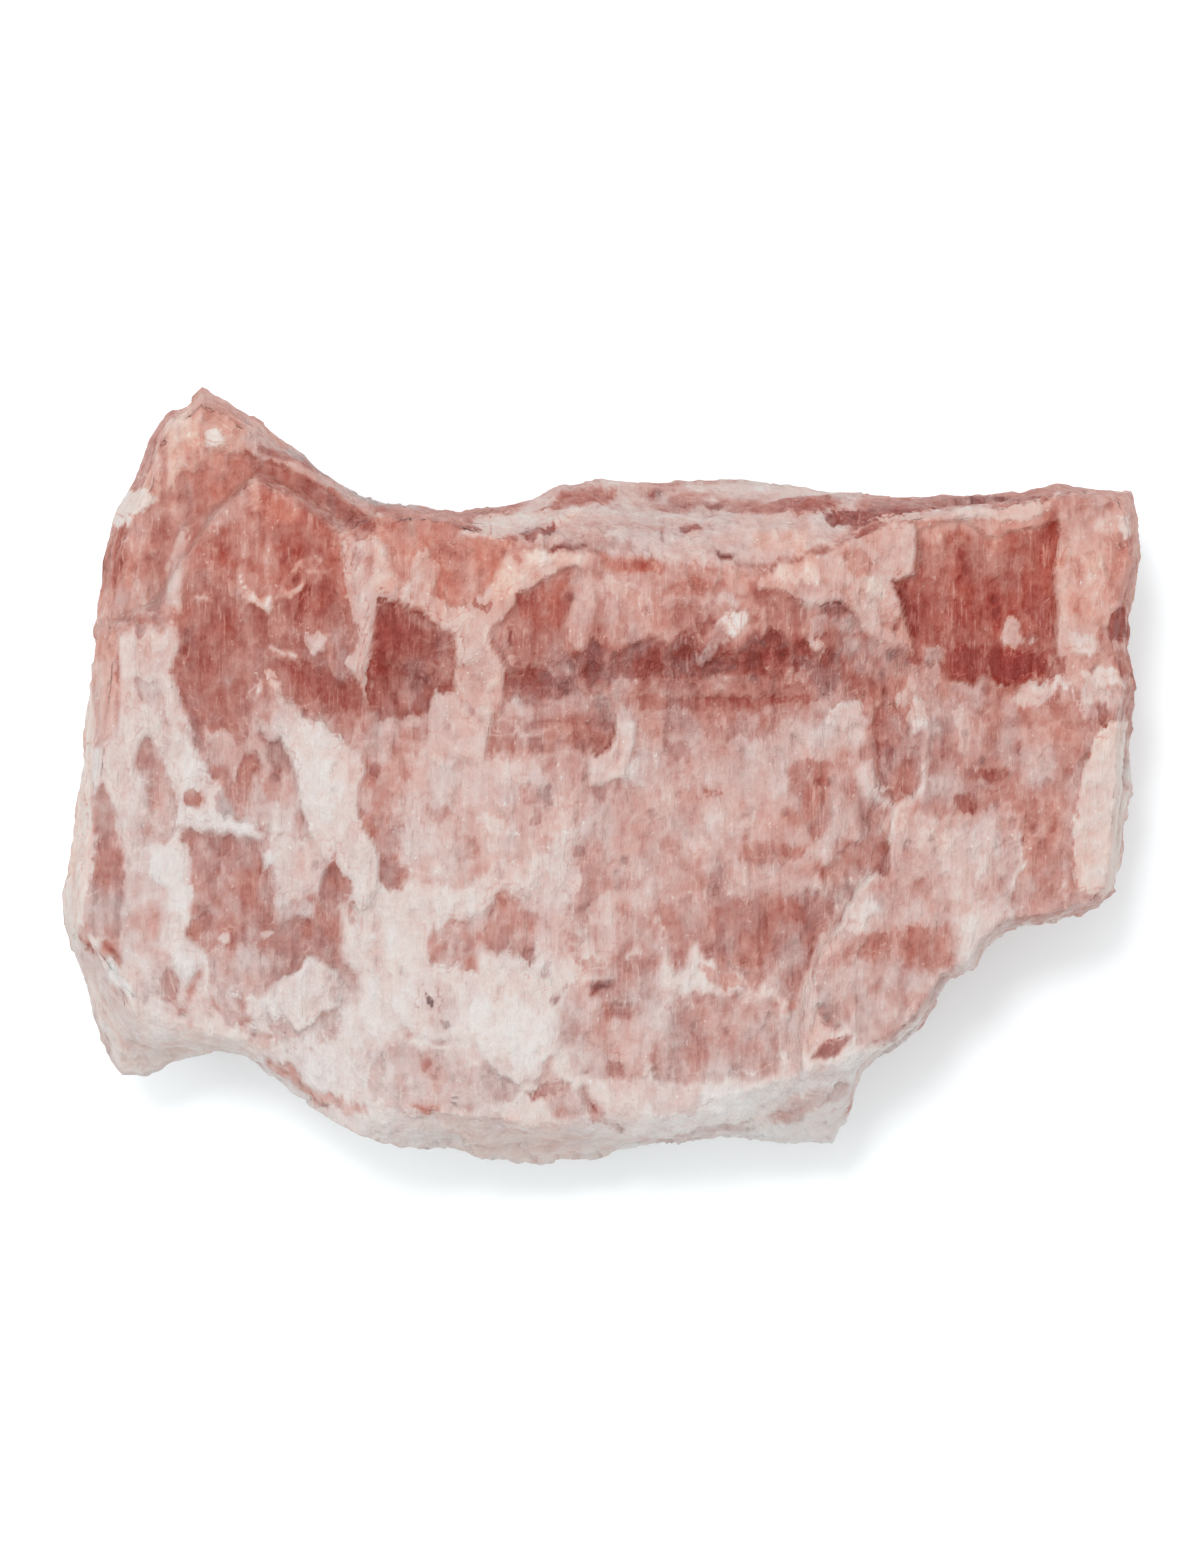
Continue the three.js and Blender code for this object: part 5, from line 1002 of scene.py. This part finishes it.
    (0.49, -0.1, -0.1, 0.4, [(4, 23.3), (8, 23.6), (14, 23.2), (20, 23.6), (21, 23.2), (18.6, 22.2),
        (14, 21.6), (10, 22.2), (5, 22.3)]),
    (0.22, 0.2, -0.15, 0.35, [(13.8, 23.1), (18.8, 23.4), (19.4, 22.2), (16.4, 21.7), (14, 22.1)]),
    (0.4, 0.2, -0.1, 0.4, [(12, 22.8), (14.8, 23), (15, 22), (12.4, 22)]),
    (0.9, 0.15, 0.2, 0.2, [(9.2, 22.7), (9.8, 23.1), (10.6, 23.2), (10, 22.6)]),
    (0.28, -0.1, -0.1, 0.18, [(8.8, 22.6), (10.4, 22.5), (10.2, 22.2), (9, 22.2)]),
    (0.88, -0.1, 0.1, 0.3, [(7.2, 21.7), (8, 22), (8.6, 21.8), (8.2, 21.2), (7.4, 21.2)]),
    (0.44, -0.4, -0.1, 0.25, [(6.6, 20.8), (8.2, 20.9), (8.4, 20.4), (6.8, 20.3)]),
    (0.84, -0.4, 0.1, 0.4, [(7, 24.4), (9, 24.4), (12, 25.1), (16, 25), (22, 24), (17, 23.9), (12, 23.9),
        (8.4, 23.7)]),
    (0.78, 0.4, 0.05, 0.4, [(12, 20.2), (17, 20.6), (17, 18.8), (13, 18.6)]),
    (0.68, 0.2, 0, 0.5, [(9.8, 17.4), (12, 17.4), (12.2, 15.4), (10.4, 15)]),
    (0.82, 0, 0.15, 0.3, [(17.5, 19.4), (18.4, 19.9), (20.2, 20), (21.6, 20.7), (20.8, 19.6),
        (19, 19.1)]),
    (0.14, 0, -0.25, 0.22, [(18.6, 21), (18.7, 21.9), (20, 22), (22, 22.2), (24, 22.8), (27, 23),
        (30, 22.9), (27.5, 22.1), (25, 21.7), (23, 21.3), (21.5, 20.8), (19, 20.7)]),
    (0.34, -0.2, -0.1, 0.3, [(23, 23.2), (26, 23.4), (31, 23.2), (36, 23.4), (38, 23.8), (37, 23),
        (33, 22.6), (28, 22.5), (24, 22.4)]),
    (0.8, 0.1, 0.15, 0.3, [(22, 21.4), (26, 21.9), (30, 22.2), (34, 22.5), (37.5, 23.1), (37.4, 22.5),
        (36.4, 21.6), (34, 21.2), (31, 21.4), (26.6, 21.2)]),
    # the bottom bevel's smooth pale facet and the toe
    (0.9, -0.4, 0, 1, [(4, -26.4), (9, -26.2), (14, -25.8), (18, -23.8), (21.4, -23), (21.8, -26),
        (20, -31.4), (10, -30.8), (2, -31.6)]),
    (0.98, -0.3, 0, 0.8, [(8.6, -26.4), (13, -26.2), (13, -27.8), (9, -28)]),
    (0.74, 0, 0, 0.5, [(3.6, -25.4), (8.4, -25.8), (8, -28.2), (4.2, -28.4)]),
    (0.64, -0.1, -0.1, 0.4, [(13.8, -28.6), (16, -27), (18.4, -25.6), (21, -25), (21.4, -26.2),
        (19, -27.4), (16, -28.8)]),
    (0.52, -0.1, -0.15, 0.3, [(14.4, -28.4), (16, -27.6), (17.2, -27.4), (16.6, -28.6), (14.8, -29)]),
    (0.76, -0.5, -0.1, 0.3, [(9, -29), (12, -28.8), (13, -29.4), (10, -29.6)]),
    (0.92, -0.2, 0, 0.6, [(14, -29.8), (19, -29), (19.6, -31), (14, -31.2)]),
    (0.76, -0.6, 0, 0.5, [(16, -24.6), (19, -23.9), (20, -24.6), (18.4, -25.4), (16.4, -25.4)]),
    (0.92, -0.2, 0.1, 0.3, [(18.6, -23.6), (20, -23), (21.6, -23.2), (21, -24.2), (19.4, -24.2)]),
]

# Thin ledges, cracks, pale arcs and painted shadow lines: (tone change, lift in mm, half width in mm, its
# points).
LINES = [
    # From here to the line at y 20.8, except the one by the peak at x -28 to -21, the dark lines lie on the
    # far bevel. They are steps between its layered slabs, cut in a little and darkened as painted shadow
    # lines.
    (-0.2, -0.35, 0.2, [(9, 18.9), (10, 18.3), (10.8, 17.9), (12, 17.8), (13.4, 17.7)]),
    (-0.5, -0.3, 0.14, [(9.7, 18.5), (10.2, 18.2), (10.8, 17.9)]),
    (-0.22, -0.25, 0.16, [(-5, 19.2), (-4, 18.9), (-2.5, 18.8), (-1.2, 19.1)]),
    (-0.28, -0.25, 0.14, [(5, 20.5), (5, 19.7)]),
    (-0.22, -0.2, 0.18, [(6.6, 20.7), (7.4, 20.5), (8.2, 20.6)]),
    (-0.25, -0.2, 0.16, [(9.6, 22.2), (10.4, 22.4), (10.9, 22.9)]),
    (-0.3, -0.25, 0.2, [(-28.2, 27.1), (-26, 26.3), (-24.5, 25.8), (-22, 25), (-21, 24)]),
    (-0.25, -0.2, 0.18, [(-10, 22.1), (-8.6, 22), (-7, 22.4)]),
    (-0.25, -0.2, 0.2, [(3.4, 24.1), (5, 24.4), (7, 24.6)]),
    (-0.2, -0.25, 0.18, [(16.5, 18.2), (18.2, 19), (20.4, 19.8), (22, 20.4), (23.2, 20.9)]),
    (-0.25, -0.2, 0.15, [(30.4, 23.1), (32, 23.2), (34, 23)]),
    (-0.12, -0.2, 0.2, [(4, 22.4), (8, 22.6), (13, 22.2)]),
    (-0.12, -0.2, 0.18, [(-1, 20.8), (2, 20.9), (5, 20.7)]),
    # A painted shadow line along the pale vein's left side.
    (-0.3, -0.3, 0.16, [(1, 4.6), (1, 3.4), (0.4, 2.1), (-0.5, 1.8)]),
    (0.22, 0.15, 0.14, [(-7.6, 3.3), (-6.2, 3.5), (-5, 3.4)]),
    (-0.1, -0.2, 0.2, [(-6, 4.3), (-2, 4.5), (0.6, 4.4)]),
    (-0.1, -0.2, 0.2, [(-5, 2.5), (-2, 2.7), (0, 2.6)]),
    (-0.3, -0.25, 0.2, [(-0.8, -18), (-0.2, -17.4), (0.8, -17.2)]),
    (-0.3, -0.3, 0.22, [(-1.8, -26), (-0.8, -26.8), (0, -27.8), (0.8, -28.8), (1.6, -29.2)]),
    # A painted shadow line along the lower edge of the bottom bevel's smooth pale facet.
    (-0.3, -0.2, 0.3, [(3, -30.2), (7, -30), (10, -29.6), (12, -29.8)]),
    (-0.24, -0.1, 0.26, [(-35.4, -18.6), (-35.1, -19.4)]),
    (0.24, 0.12, 0.14, [(-25.5, 17), (-24.8, 17.8), (-23.8, 18.4), (-23.2, 18)]),
    (0.24, 0.12, 0.14, [(-24.6, 17.2), (-22.6, 17)]),
    (0.24, 0.12, 0.18, [(-26.8, 15), (-25.6, 15.4), (-24.5, 15.9)]),
    (0.24, 0.12, 0.2, [(-29.9, 16.4), (-29.4, 15.4), (-28.8, 14.9), (-28.2, 14.3), (-27.7, 14.1),
        (-27.6, 15)]),
    (0.35, 0.12, 0.16, [(-27.2, 11), (-26.4, 10.3), (-25.4, 9.9)]),
    (0.3, 0.1, 0.14, [(-33.4, 14.7), (-32.6, 14.8)]),
    (0.3, 0.1, 0.12, [(-28.7, 7.4), (-28.5, 7)]),
    (0.14, 0.05, 0.16, [(-27.5, 20), (-27.6, 16), (-27.4, 13)]),
    (0.12, 0.05, 0.16, [(-30, 18), (-29.8, 14)]),
    (-0.2, -0.1, 0.14, [(-7.5, 12), (-7.5, 10.6)]),
    (-0.25, -0.15, 0.14, [(-34.9, 4.7), (-34.1, 3.5), (-33.6, 2.2)]),
    (-0.24, -0.1, 0.3, [(-34.6, -19.4), (-34.1, -18.2), (-33.3, -16.5)]),
    (-0.26, -0.1, 0.28, [(-40.9, -14), (-40.3, -14.5), (-40, -15.2)]),
]


# ---------------------------------------------------------------- colour and relief in numbers

# How much softer an edge is than its patch says, and how far beyond that it still reaches
EDGE_BLUR = 0.12
EDGE_MARGIN = 0.34
# The stretch across an edge over which one tone turns into the other
EDGE_STEP = (0.28, 0.72)


def inside(x, y, outline):
    """Distance to a closed outline's nearest edge, positive inside it and negative outside.

    A point is inside where a level ray from it crosses the outline an odd number of times.
    """
    corners = np.array(outline, float)
    nearest = np.full(x.shape, 1e9)
    within = np.zeros(x.shape, bool)
    for (ax, ay), (bx, by) in zip(corners, np.roll(corners, -1, 0)):
        ex, ey = bx - ax, by - ay
        t = np.clip(((x - ax) * ex + (y - ay) * ey) / (ex * ex + ey * ey), 0, 1)
        nearest = np.minimum(nearest, np.hypot(x - ax - t * ex, y - ay - t * ey))
        reached = ax + (y - ay) * ex / (ey or 1)
        within ^= ((ay > y) != (by > y)) & (x < reached)
    return np.where(within, nearest, -nearest)


def beside(x, y, line):
    """Distance to the nearest stretch of an open line of points."""
    nearest = np.full(x.shape, 1e9)
    for (ax, ay), (bx, by) in zip(line[:-1], line[1:]):
        ex, ey = bx - ax, by - ay
        t = np.clip(((x - ax) * ex + (y - ay) * ey) / (ex * ex + ey * ey), 0, 1)
        nearest = np.minimum(nearest, np.hypot(x - ax - t * ex, y - ay - t * ey))
    return nearest


def about(x, y, places, margin):
    """The numbers of the points within a margin of the box round some places."""
    low, high = np.min(places, 0) - margin, np.max(places, 0) + margin
    return np.flatnonzero((x > low[0]) & (x < high[0]) & (y > low[1]) & (y < high[1]))


DARK_LAYER_AT, DARK_LAYER_HALF = 9.5, 1.7
CRUST_TONE = 0.88


def body_colour(p):
    """Tone and hue all through the stone: layers across its fibres, clouds and chalk crust.

    A layer is a bell curve or a step in Y, which wanders by noise. Crust lies where slow
    noise is high, more of it at low Y and underneath.
    """
    _, y, z = p.T
    across = y + 2 * rough(p, (17, 17, 17), 3, 3)
    dark_layer = np.exp(-((across - DARK_LAYER_AT) / DARK_LAYER_HALF) ** 2)
    tone = 0.5 + 0.2 * rough(p, (5, 9, 5), 11) - 0.3 * dark_layer
    tone -= 0.1 * rise(11, 13, across) * (1 - rise(19, 23, across))
    crust = rough(p, (6, 8, 6), 23) - 0.012 * y + 0.15 * (1 - rise(1, 9, z))
    tone += rise(0.08, 0.26, crust) * (CRUST_TONE - tone)
    hue = 0.12 + 0.45 * rough(p, (8, 8, 8), 37, 3)
    return tone, hue


def lay_patches(x, y, tone, hue, seen):
    """Lays each patch over what is there, as far as it is seen, and adds up the lifts.

    Gives the tone under the edge that a point is nearest to, the tone over it, and how far
    the point is across it, from 0 to 1 within the edge's softness. The material mixes the
    two, so that the edge can be torn more finely than the mesh. Away from edges both agree.
    Each thin line then changes both tones and the lift, by a step that falls off beside it.
    """
    under, over, hue = tone.copy(), tone.copy(), hue.copy()
    across, lift = np.full(x.shape, 0.5), np.zeros(x.shape)
    for patch_tone, patch_hue, up, soft, outline in PATCHES:
        blur = soft + EDGE_BLUR
        reach = blur + EDGE_MARGIN
        near = about(x, y, outline, reach)
        depth = inside(x[near], y[near], outline)
        near, depth = near[depth > -reach], depth[depth > -reach]
        beneath = under[near] + rise(*EDGE_STEP, across[near]) * (over[near] - under[near])
        way = np.clip(0.5 + 0.5 * depth / blur, 0, 1)
        cover = seen[near] * rise(*EDGE_STEP, way)
        over[near] = beneath + seen[near] * (patch_tone - beneath)
        under[near] = np.where(depth > reach, over[near], beneath)
        across[near] = way
        hue[near] += cover * (patch_hue - hue[near])
        lift[near] += cover * up
    for change, up, half, line in LINES:
        near = about(x, y, line, 3 * half)
        cover = seen[near] * (1 - rise(0.3 * half, 2 * half, beside(x[near], y[near], line)))
        under[near] += cover * change
        over[near] += cover * change
        lift[near] += cover * up
    return under, over, across, hue, lift


def normals_of(points, quads):
    """Each point's normal: the sum of its quads' area vectors, each its diagonals' cross.

    The last point under the stone is in no quad, so its normal is zero.
    """
    a, b, c, d = np.moveaxis(points[quads], 1, 0)
    area = np.cross(c - a, d - b)
    total = np.stack([
        np.bincount(quads.ravel(), np.repeat(area[:, k], 4), len(points)) for k in range(3)], -1)
    return total / np.maximum(np.linalg.norm(total, axis=1, keepdims=True), 1e-9)


# Sizes of the grain along X, Y and Z, in mm
FIBRE, CRUMB, BLOTCH, CLOUD = (0.8, 6, 0.8), (0.9, 1.1, 0.9), (2.3, 3, 2.3), (3.1, 3.6, 3.1)
CHIP, PIT = (1.2, 3.6, 1.4), (1.5, 1.9, 1.5)
BLOCK, FLAKE = (8, 11, 7), (3, 5, 2.4)
# The height over which the relief fades in above the floor
FOOT_FADE = 3


def frayed(p, side):
    """The x and y at which a point reads the patches, moved by noise so that edges fray.

    The noise is fine along X and long along Y, and it strays further on the sides. At high
    Y, where the far bevel is layered, edges along X fray less.
    """
    x, y, _ = p.T
    stray, drift = 0.12 + 1.1 * side, 0.12 + 0.45 * side
    tooth = 0.8 - 0.6 * rise(18.5, 20.5, y)
    fray_x = 0.3 * rough(p, (1.3, 3, 2.5), 51, 3) + stray * rough(p, (4, 4, 4), 57, 2)
    fray_y = tooth * rough(p, (0.7, 4, 4), 53, 3) + drift * rough(p, (4, 4, 4), 59, 2)
    return x + fray_x, y + fray_y


def hue_drift(x, y, tone):
    """Slow changes of hue over the stone: duller in steps down to low Y.

    Pale stone is duller still at low Y, most of all towards the left.
    """
    low, leftward = 1 - rise(-6, 9, y), 1 - rise(-26, 0, x)
    pale = rise(0.45, 0.75, tone)
    drift = 0.15 - 0.3 * (1 - rise(2, 14, y)) - 0.2 * (1 - rise(-22, -12, y))
    return drift - low * pale * (0.15 + 0.35 * leftward) - 0.1 * (1 - rise(-31, -21, y))


def carving(p, level):
    """How far the sides are cut back: random heights and slopes of blocks and small flakes.

    What would stand out is cut off at 0.2 mm. It grows from the middle of the bevel down
    the wall, and a bell curve holds it back along the outline.
    """
    block, block_ramp, _ = splinters(p, BLOCK, 131)
    flake, flake_ramp, _ = splinters(p, FLAKE, 137)
    carved = 1.6 * (block - 1) + 2.2 * block_ramp + 0.35 * (flake - 1) + 0.5 * flake_ramp
    at_outline = np.exp(-((level - 1) / 0.22) ** 2)
    return rise(0.5, 1.3, level) * (1 - 0.75 * at_outline) * np.minimum(carved, 0.2)


def shape_and_colour(p, normal, level):
    """The stone's points after its relief, with their tones and hues.

    Patches are laid straight down, and each lift goes straight up. Fibres, chips, crumbs,
    blotches and pits change the tone and go along the normal, less round the far outline,
    and then the sides are carved. Pits are dented in, and darkened and dulled as painted
    shade in them. Fibres and chips are weaker on chalk, and pits lie where a slow cloud
    is high.
    """
    x, y, z = p.T
    base_tone, base_hue = body_colour(p)
    seen = 1 - rise(0.85, 1.3, level)
    under, over, across, hue, lift = lay_patches(
        *frayed(p, rise(0, 1, level)), base_tone, base_hue, seen)
    tone = under + rise(*EDGE_STEP, across) * (over - under)

    chalk = rise(0.66, 0.86, tone)
    middling = 1 - np.abs(2 * np.clip(tone, 0, 1) - 1)
    chip, chip_ramp, _ = splinters(p, CHIP, 61)
    _, _, from_pit = splinters(p, PIT, 107)
    fibre, crumb = rough(p, FIBRE, 67, 3), rough(p, CRUMB, 71, 3)
    blotch, cloud = rough(p, BLOTCH, 73), rough(p, CLOUD, 97, 3)
    # Pits: dented in, and darkened and dulled in tone and hue as painted shade in them.
    pit_with_painted_shade = (1 - rise(0.12, 0.3, from_pit)) * rise(0.1, 0.35, cloud)
    pit_with_painted_shade *= 1 - 0.5 * np.clip(hue, 0, 1)
    change = 0.07 * (chip - 0.5) + (0.06 + 0.07 * middling) * blotch + 0.06 * fibre
    change += (0.1 + 0.1 * middling) * crumb - 0.2 * pit_with_painted_shade
    change *= 0.6 + 0.4 * rise(-29, -25, y)
    tone = tone + change
    hue += 0.6 * cloud - 0.1 * middling * rise(0.4, 0.55, tone) - 0.5 * pit_with_painted_shade
    hue += hue_drift(x, y, tone)

    push = (1 - 0.6 * chalk) * (0.16 * fibre + 0.2 * (chip - 0.5) + 0.25 * chip_ramp)
    push = push + (0.2 + 0.06 * chalk) * crumb + 0.2 * blotch - 0.3 * pit_with_painted_shade
    far_outline = rise(20, 23, y) * rise(0.4, 0.9, level) * (1 - rise(1.1, 1.3, level))
    push = push * (1 - 0.6 * far_outline) + carving(p, level)
    moved = p + (push * rise(0, FOOT_FADE, z))[:, None] * normal
    moved[:, 2] += lift * rise(0.1, 0.6, normal[:, 2])
    moved[:, 2] = np.maximum(0, moved[:, 2])
    return moved, {"under": under + change, "over": over + change, "across": across,
                   "hue": np.clip(hue, -1, 1)}


# ---------------------------------------------------------------- materials

class Ink:
    """A socket of a node tree: operators on it add Math nodes, and node() adds any other."""

    def __init__(self, tree, socket=None):
        self.tree = tree
        self.socket = socket

    def node(self, kind, settings, inputs, output=0):
        """Adds a node: its settings first, with a ramp's stops among them, then its inputs."""
        made = self.tree.nodes.new(kind)
        for name, value in settings.items():
            if name == "stops":
                ramp = made.color_ramp.elements
                for k, (place, colour) in enumerate(value):
                    stop = ramp[k] if k < 2 else ramp.new(place)
                    stop.position = place
                    stop.color = (*colour, 1)
            else:
                setattr(made, name, value)
        for name, value in inputs.items():
            if isinstance(value, Ink):
                self.tree.links.new(value.socket, made.inputs[name])
            else:
                made.inputs[name].default_value = value
        return Ink(self.tree, made.outputs[output] if made.outputs else None)

    def maths(self, operation, *values):
        return self.node("ShaderNodeMath", {"operation": operation}, dict(enumerate(values)))

    def step(self, low, high):
        """0 below low, 1 above high, and a smooth step between."""
        return self.node("ShaderNodeMapRange", {"interpolation_type": "SMOOTHSTEP"},
                         {"Value": self, "From Min": low, "From Max": high})

    def __add__(self, other):
        return self.maths("ADD", self, other)

    __radd__ = __add__

    def __sub__(self, other):
        return self.maths("SUBTRACT", self, other)

    def __rsub__(self, other):
        return self.maths("SUBTRACT", other, self)

    def __mul__(self, other):
        return self.maths("MULTIPLY", self, other)

    __rmul__ = __mul__


# From deep brick red through rose to chalk white: the tone, and its display colour
TONES = [
    (0.0, (138, 60, 50)), (0.12, (156, 79, 69)), (0.28, (175, 109, 98)), (0.45, (194, 138, 127)),
    (0.6, (209, 162, 152)), (0.75, (219, 183, 174)), (0.88, (226, 204, 196)),
    (1.0, (231, 221, 216)),
]
# Turns the colours down to suit the lights
STONE_GAIN = 0.79


def light_of(red, green, blue):
    """Display numbers from 0 to 255 as linear light, times the stone's gain."""
    shares = [c / 255 for c in (red, green, blue)]
    return tuple(
        STONE_GAIN * (c / 12.92 if c <= 0.04045 else ((c + 0.055) / 1.055) ** 2.4)
        for c in shares)


def calcite_material():
    """Colour by the tone and hue attributes, with grain that is finer than the mesh.

    The tones on either side of an edge meet along a line torn by noise. Fibres, streaks and
    columns are noise stretched along Y, fine to broad, and threads are thin pale fibres in
    scattered places. Crumbs are even noise, weaker on chalk, and flecks are small pale dots.
    A hue above 0 gives a warmer and stronger colour and one below 0 a duller one.
    """
    material = bpy.data.materials.new("rose calcite")
    material.use_nodes = True
    tree = material.node_tree
    tree.nodes.clear()
    ink = Ink(tree)
    under, over, across, hue = (
        ink.node("ShaderNodeAttribute", {"attribute_name": name}, {}, "Fac")
        for name in ("under", "over", "across", "hue"))
    place = ink.node("ShaderNodeTexCoord", {}, {}, "Object")

    def grain(scale, detail):
        """Noise from 0 to 1 with its own scale along each axis, in cells per mm."""
        stretched = ink.node("ShaderNodeVectorMath", {"operation": "MULTIPLY"},
                             {0: place, 1: tuple(1000 * s for s in scale)})
        return ink.node("ShaderNodeTexNoise", {},
                        {"Vector": stretched, "Scale": 1.0, "Detail": detail, "Roughness": 0.6})

    fibres = grain((2.6, 0.3, 2.6), 3.0) - 0.5
    crumbs = grain((1.5, 1.2, 1.5), 5.0) - 0.5
    tears = grain((1.7, 0.9, 1.7), 6.0) - 0.5
    streaks = grain((1.7, 0.12, 1.7), 4.0) - 0.5
    columns = grain((0.8, 0.08, 0.8), 3.0) - 0.5
    scattered = grain((0.3, 0.2, 0.3), 2.0).step(0.4, 0.6)
    threads = grain((3.6, 0.4, 3.6), 2.0).step(0.54, 0.68) * scattered
    flecks = grain((2.3, 1.6, 2.3), 2.0).step(0.68, 0.73)
    tone = under + (across + 2.0 * tears).step(*EDGE_STEP) * (over - under)
    grained = 0.2 * fibres + 0.45 * streaks + 0.45 * columns + 0.25 * threads - 0.03
    shade = tone + grained * (1.05 - tone)
    shade = shade + (0.52 - 0.38 * tone * tone) * crumbs + 0.25 * flecks
    colour = ink.node(
        "ShaderNodeValToRGB",
        {"stops": [(t, light_of(*c)) for t, c in TONES]}, {"Fac": shade}, "Color")
    hue = hue + 1.6 * (grain((0.5, 0.35, 0.5), 3.0) - 0.5)
    warm = hue.maths("MAXIMUM", hue, 0.0)
    dusty = hue.maths("MINIMUM", hue, 0.0)
    colour = ink.node(
        "ShaderNodeHueSaturation", {},
        {"Hue": 0.5 + 0.005 * warm * (2.2 * tone - 1.0),
         "Saturation": 1.0 + warm * (0.06 + 0.36 * tone) + 0.5 * dusty,
         "Value": 1.0 + 0.07 * warm, "Color": colour}, "Color")
    height = 0.6 * fibres + 0.8 * crumbs
    bump = ink.node("ShaderNodeBump", {}, {"Strength": 0.8, "Distance": 0.0005, "Height": height},
                    "Normal")
    shader = ink.node("ShaderNodeBsdfPrincipled", {}, {
        "Base Color": colour,
        "Roughness": 0.42 + 0.35 * tone,
        "IOR": 1.55,
        "Specular IOR Level": 0.25,
        "Subsurface Weight": 0.12,
        "Subsurface Radius": (1.0, 0.45, 0.35),
        "Subsurface Scale": 0.001,
        "Normal": bump,
    })
    ink.node("ShaderNodeOutputMaterial", {}, {"Surface": shader})
    return material


FLOOR_COLOUR = (0.89, 0.95, 0.97, 1)
FLOOR_GLOW = 0.12


def floor_material():
    """Dull and nearly white, with a faint glow that keeps it pale in the shadow."""
    material = bpy.data.materials.new("white sweep")
    material.use_nodes = True
    shader = material.node_tree.nodes["Principled BSDF"]
    shader.inputs["Base Color"].default_value = FLOOR_COLOUR
    shader.inputs["Roughness"].default_value = 1.0
    shader.inputs["Specular IOR Level"].default_value = 0.0
    shader.inputs["Emission Color"].default_value = (1, 1, 1, 1)
    shader.inputs["Emission Strength"].default_value = FLOOR_GLOW
    return material


# ---------------------------------------------------------------- pieces and the set

def solid(name, points, faces, material):
    """A mesh object at the origin, from points in metres and lists of faces."""
    mesh = bpy.data.meshes.new(name)
    mesh.from_pydata(points.tolist(), [], faces)
    mesh.materials.append(material)
    thing = bpy.data.objects.new(name, mesh)
    bpy.context.collection.objects.link(thing)
    return thing


def stone():
    """The whole lump, with its tones and hues as attributes of its points."""
    points, quads, triangles, level = lump_grid()
    moved, layers = shape_and_colour(points, normals_of(points, quads), level)
    faces = quads.tolist() + triangles.tolist()
    lump = solid("rough_calcite", moved / 1000, faces, calcite_material())
    lump.data.shade_smooth()
    for name, values in layers.items():
        layer = lump.data.attributes.new(name, "FLOAT", "POINT")
        layer.data.foreach_set("value", values.astype(np.float32))
    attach(lump, "root")
    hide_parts("calcite_lump")
    return lump


FLOOR_HALF = 3.0
SURROUND = 0.8
# The camera looks straight down at this centre, and at this level the picture is this tall
VIEW_CENTRE = (-0.000083, 0.000083)
VIEW_HEIGHT = 0.12925
VIEW_LEVEL = 0.022
LENS, SENSOR = 600.0, 36.0
# Each light's name, strength, spread in degrees, and the way to it
LIGHTS = [
    ("broad light", 1.0, 34, (-0.17, 0.19, 0.97)), ("small light", 0.8, 7, (-0.09, 0.17, 0.98)),
]


def studio():
    """A white floor, a soft white surround, the lights up to the left, and the camera."""
    corners = np.array([(-1, -1, 0), (1, -1, 0), (1, 1, 0), (-1, 1, 0)], float) * FLOOR_HALF
    floor = solid("floor", corners, [(0, 1, 2, 3)], floor_material())

    world = bpy.data.worlds.new("soft surround")
    world.use_nodes = True
    world.node_tree.nodes["Background"].inputs["Color"].default_value = (1, 1, 1, 1)
    world.node_tree.nodes["Background"].inputs["Strength"].default_value = SURROUND
    bpy.context.scene.world = world

    for name, strength, spread, toward in LIGHTS:
        light = bpy.data.lights.new(name, "SUN")
        light.energy, light.angle = strength, math.radians(spread)
        lamp = bpy.data.objects.new(name, light)
        lamp.rotation_euler = Vector(toward).to_track_quat("Z", "Y").to_euler()
        bpy.context.collection.objects.link(lamp)

    lens = bpy.data.cameras.new("camera")
    lens.lens, lens.sensor_width = LENS, SENSOR
    camera = bpy.data.objects.new("camera", lens)
    camera.location = (*VIEW_CENTRE, VIEW_LEVEL + VIEW_HEIGHT * LENS / SENSOR)
    bpy.context.collection.objects.link(camera)
    bpy.context.scene.camera = camera
    bpy.context.scene.view_settings.view_transform = "Standard"


stone()
studio()
bpy.context.view_layer.update()
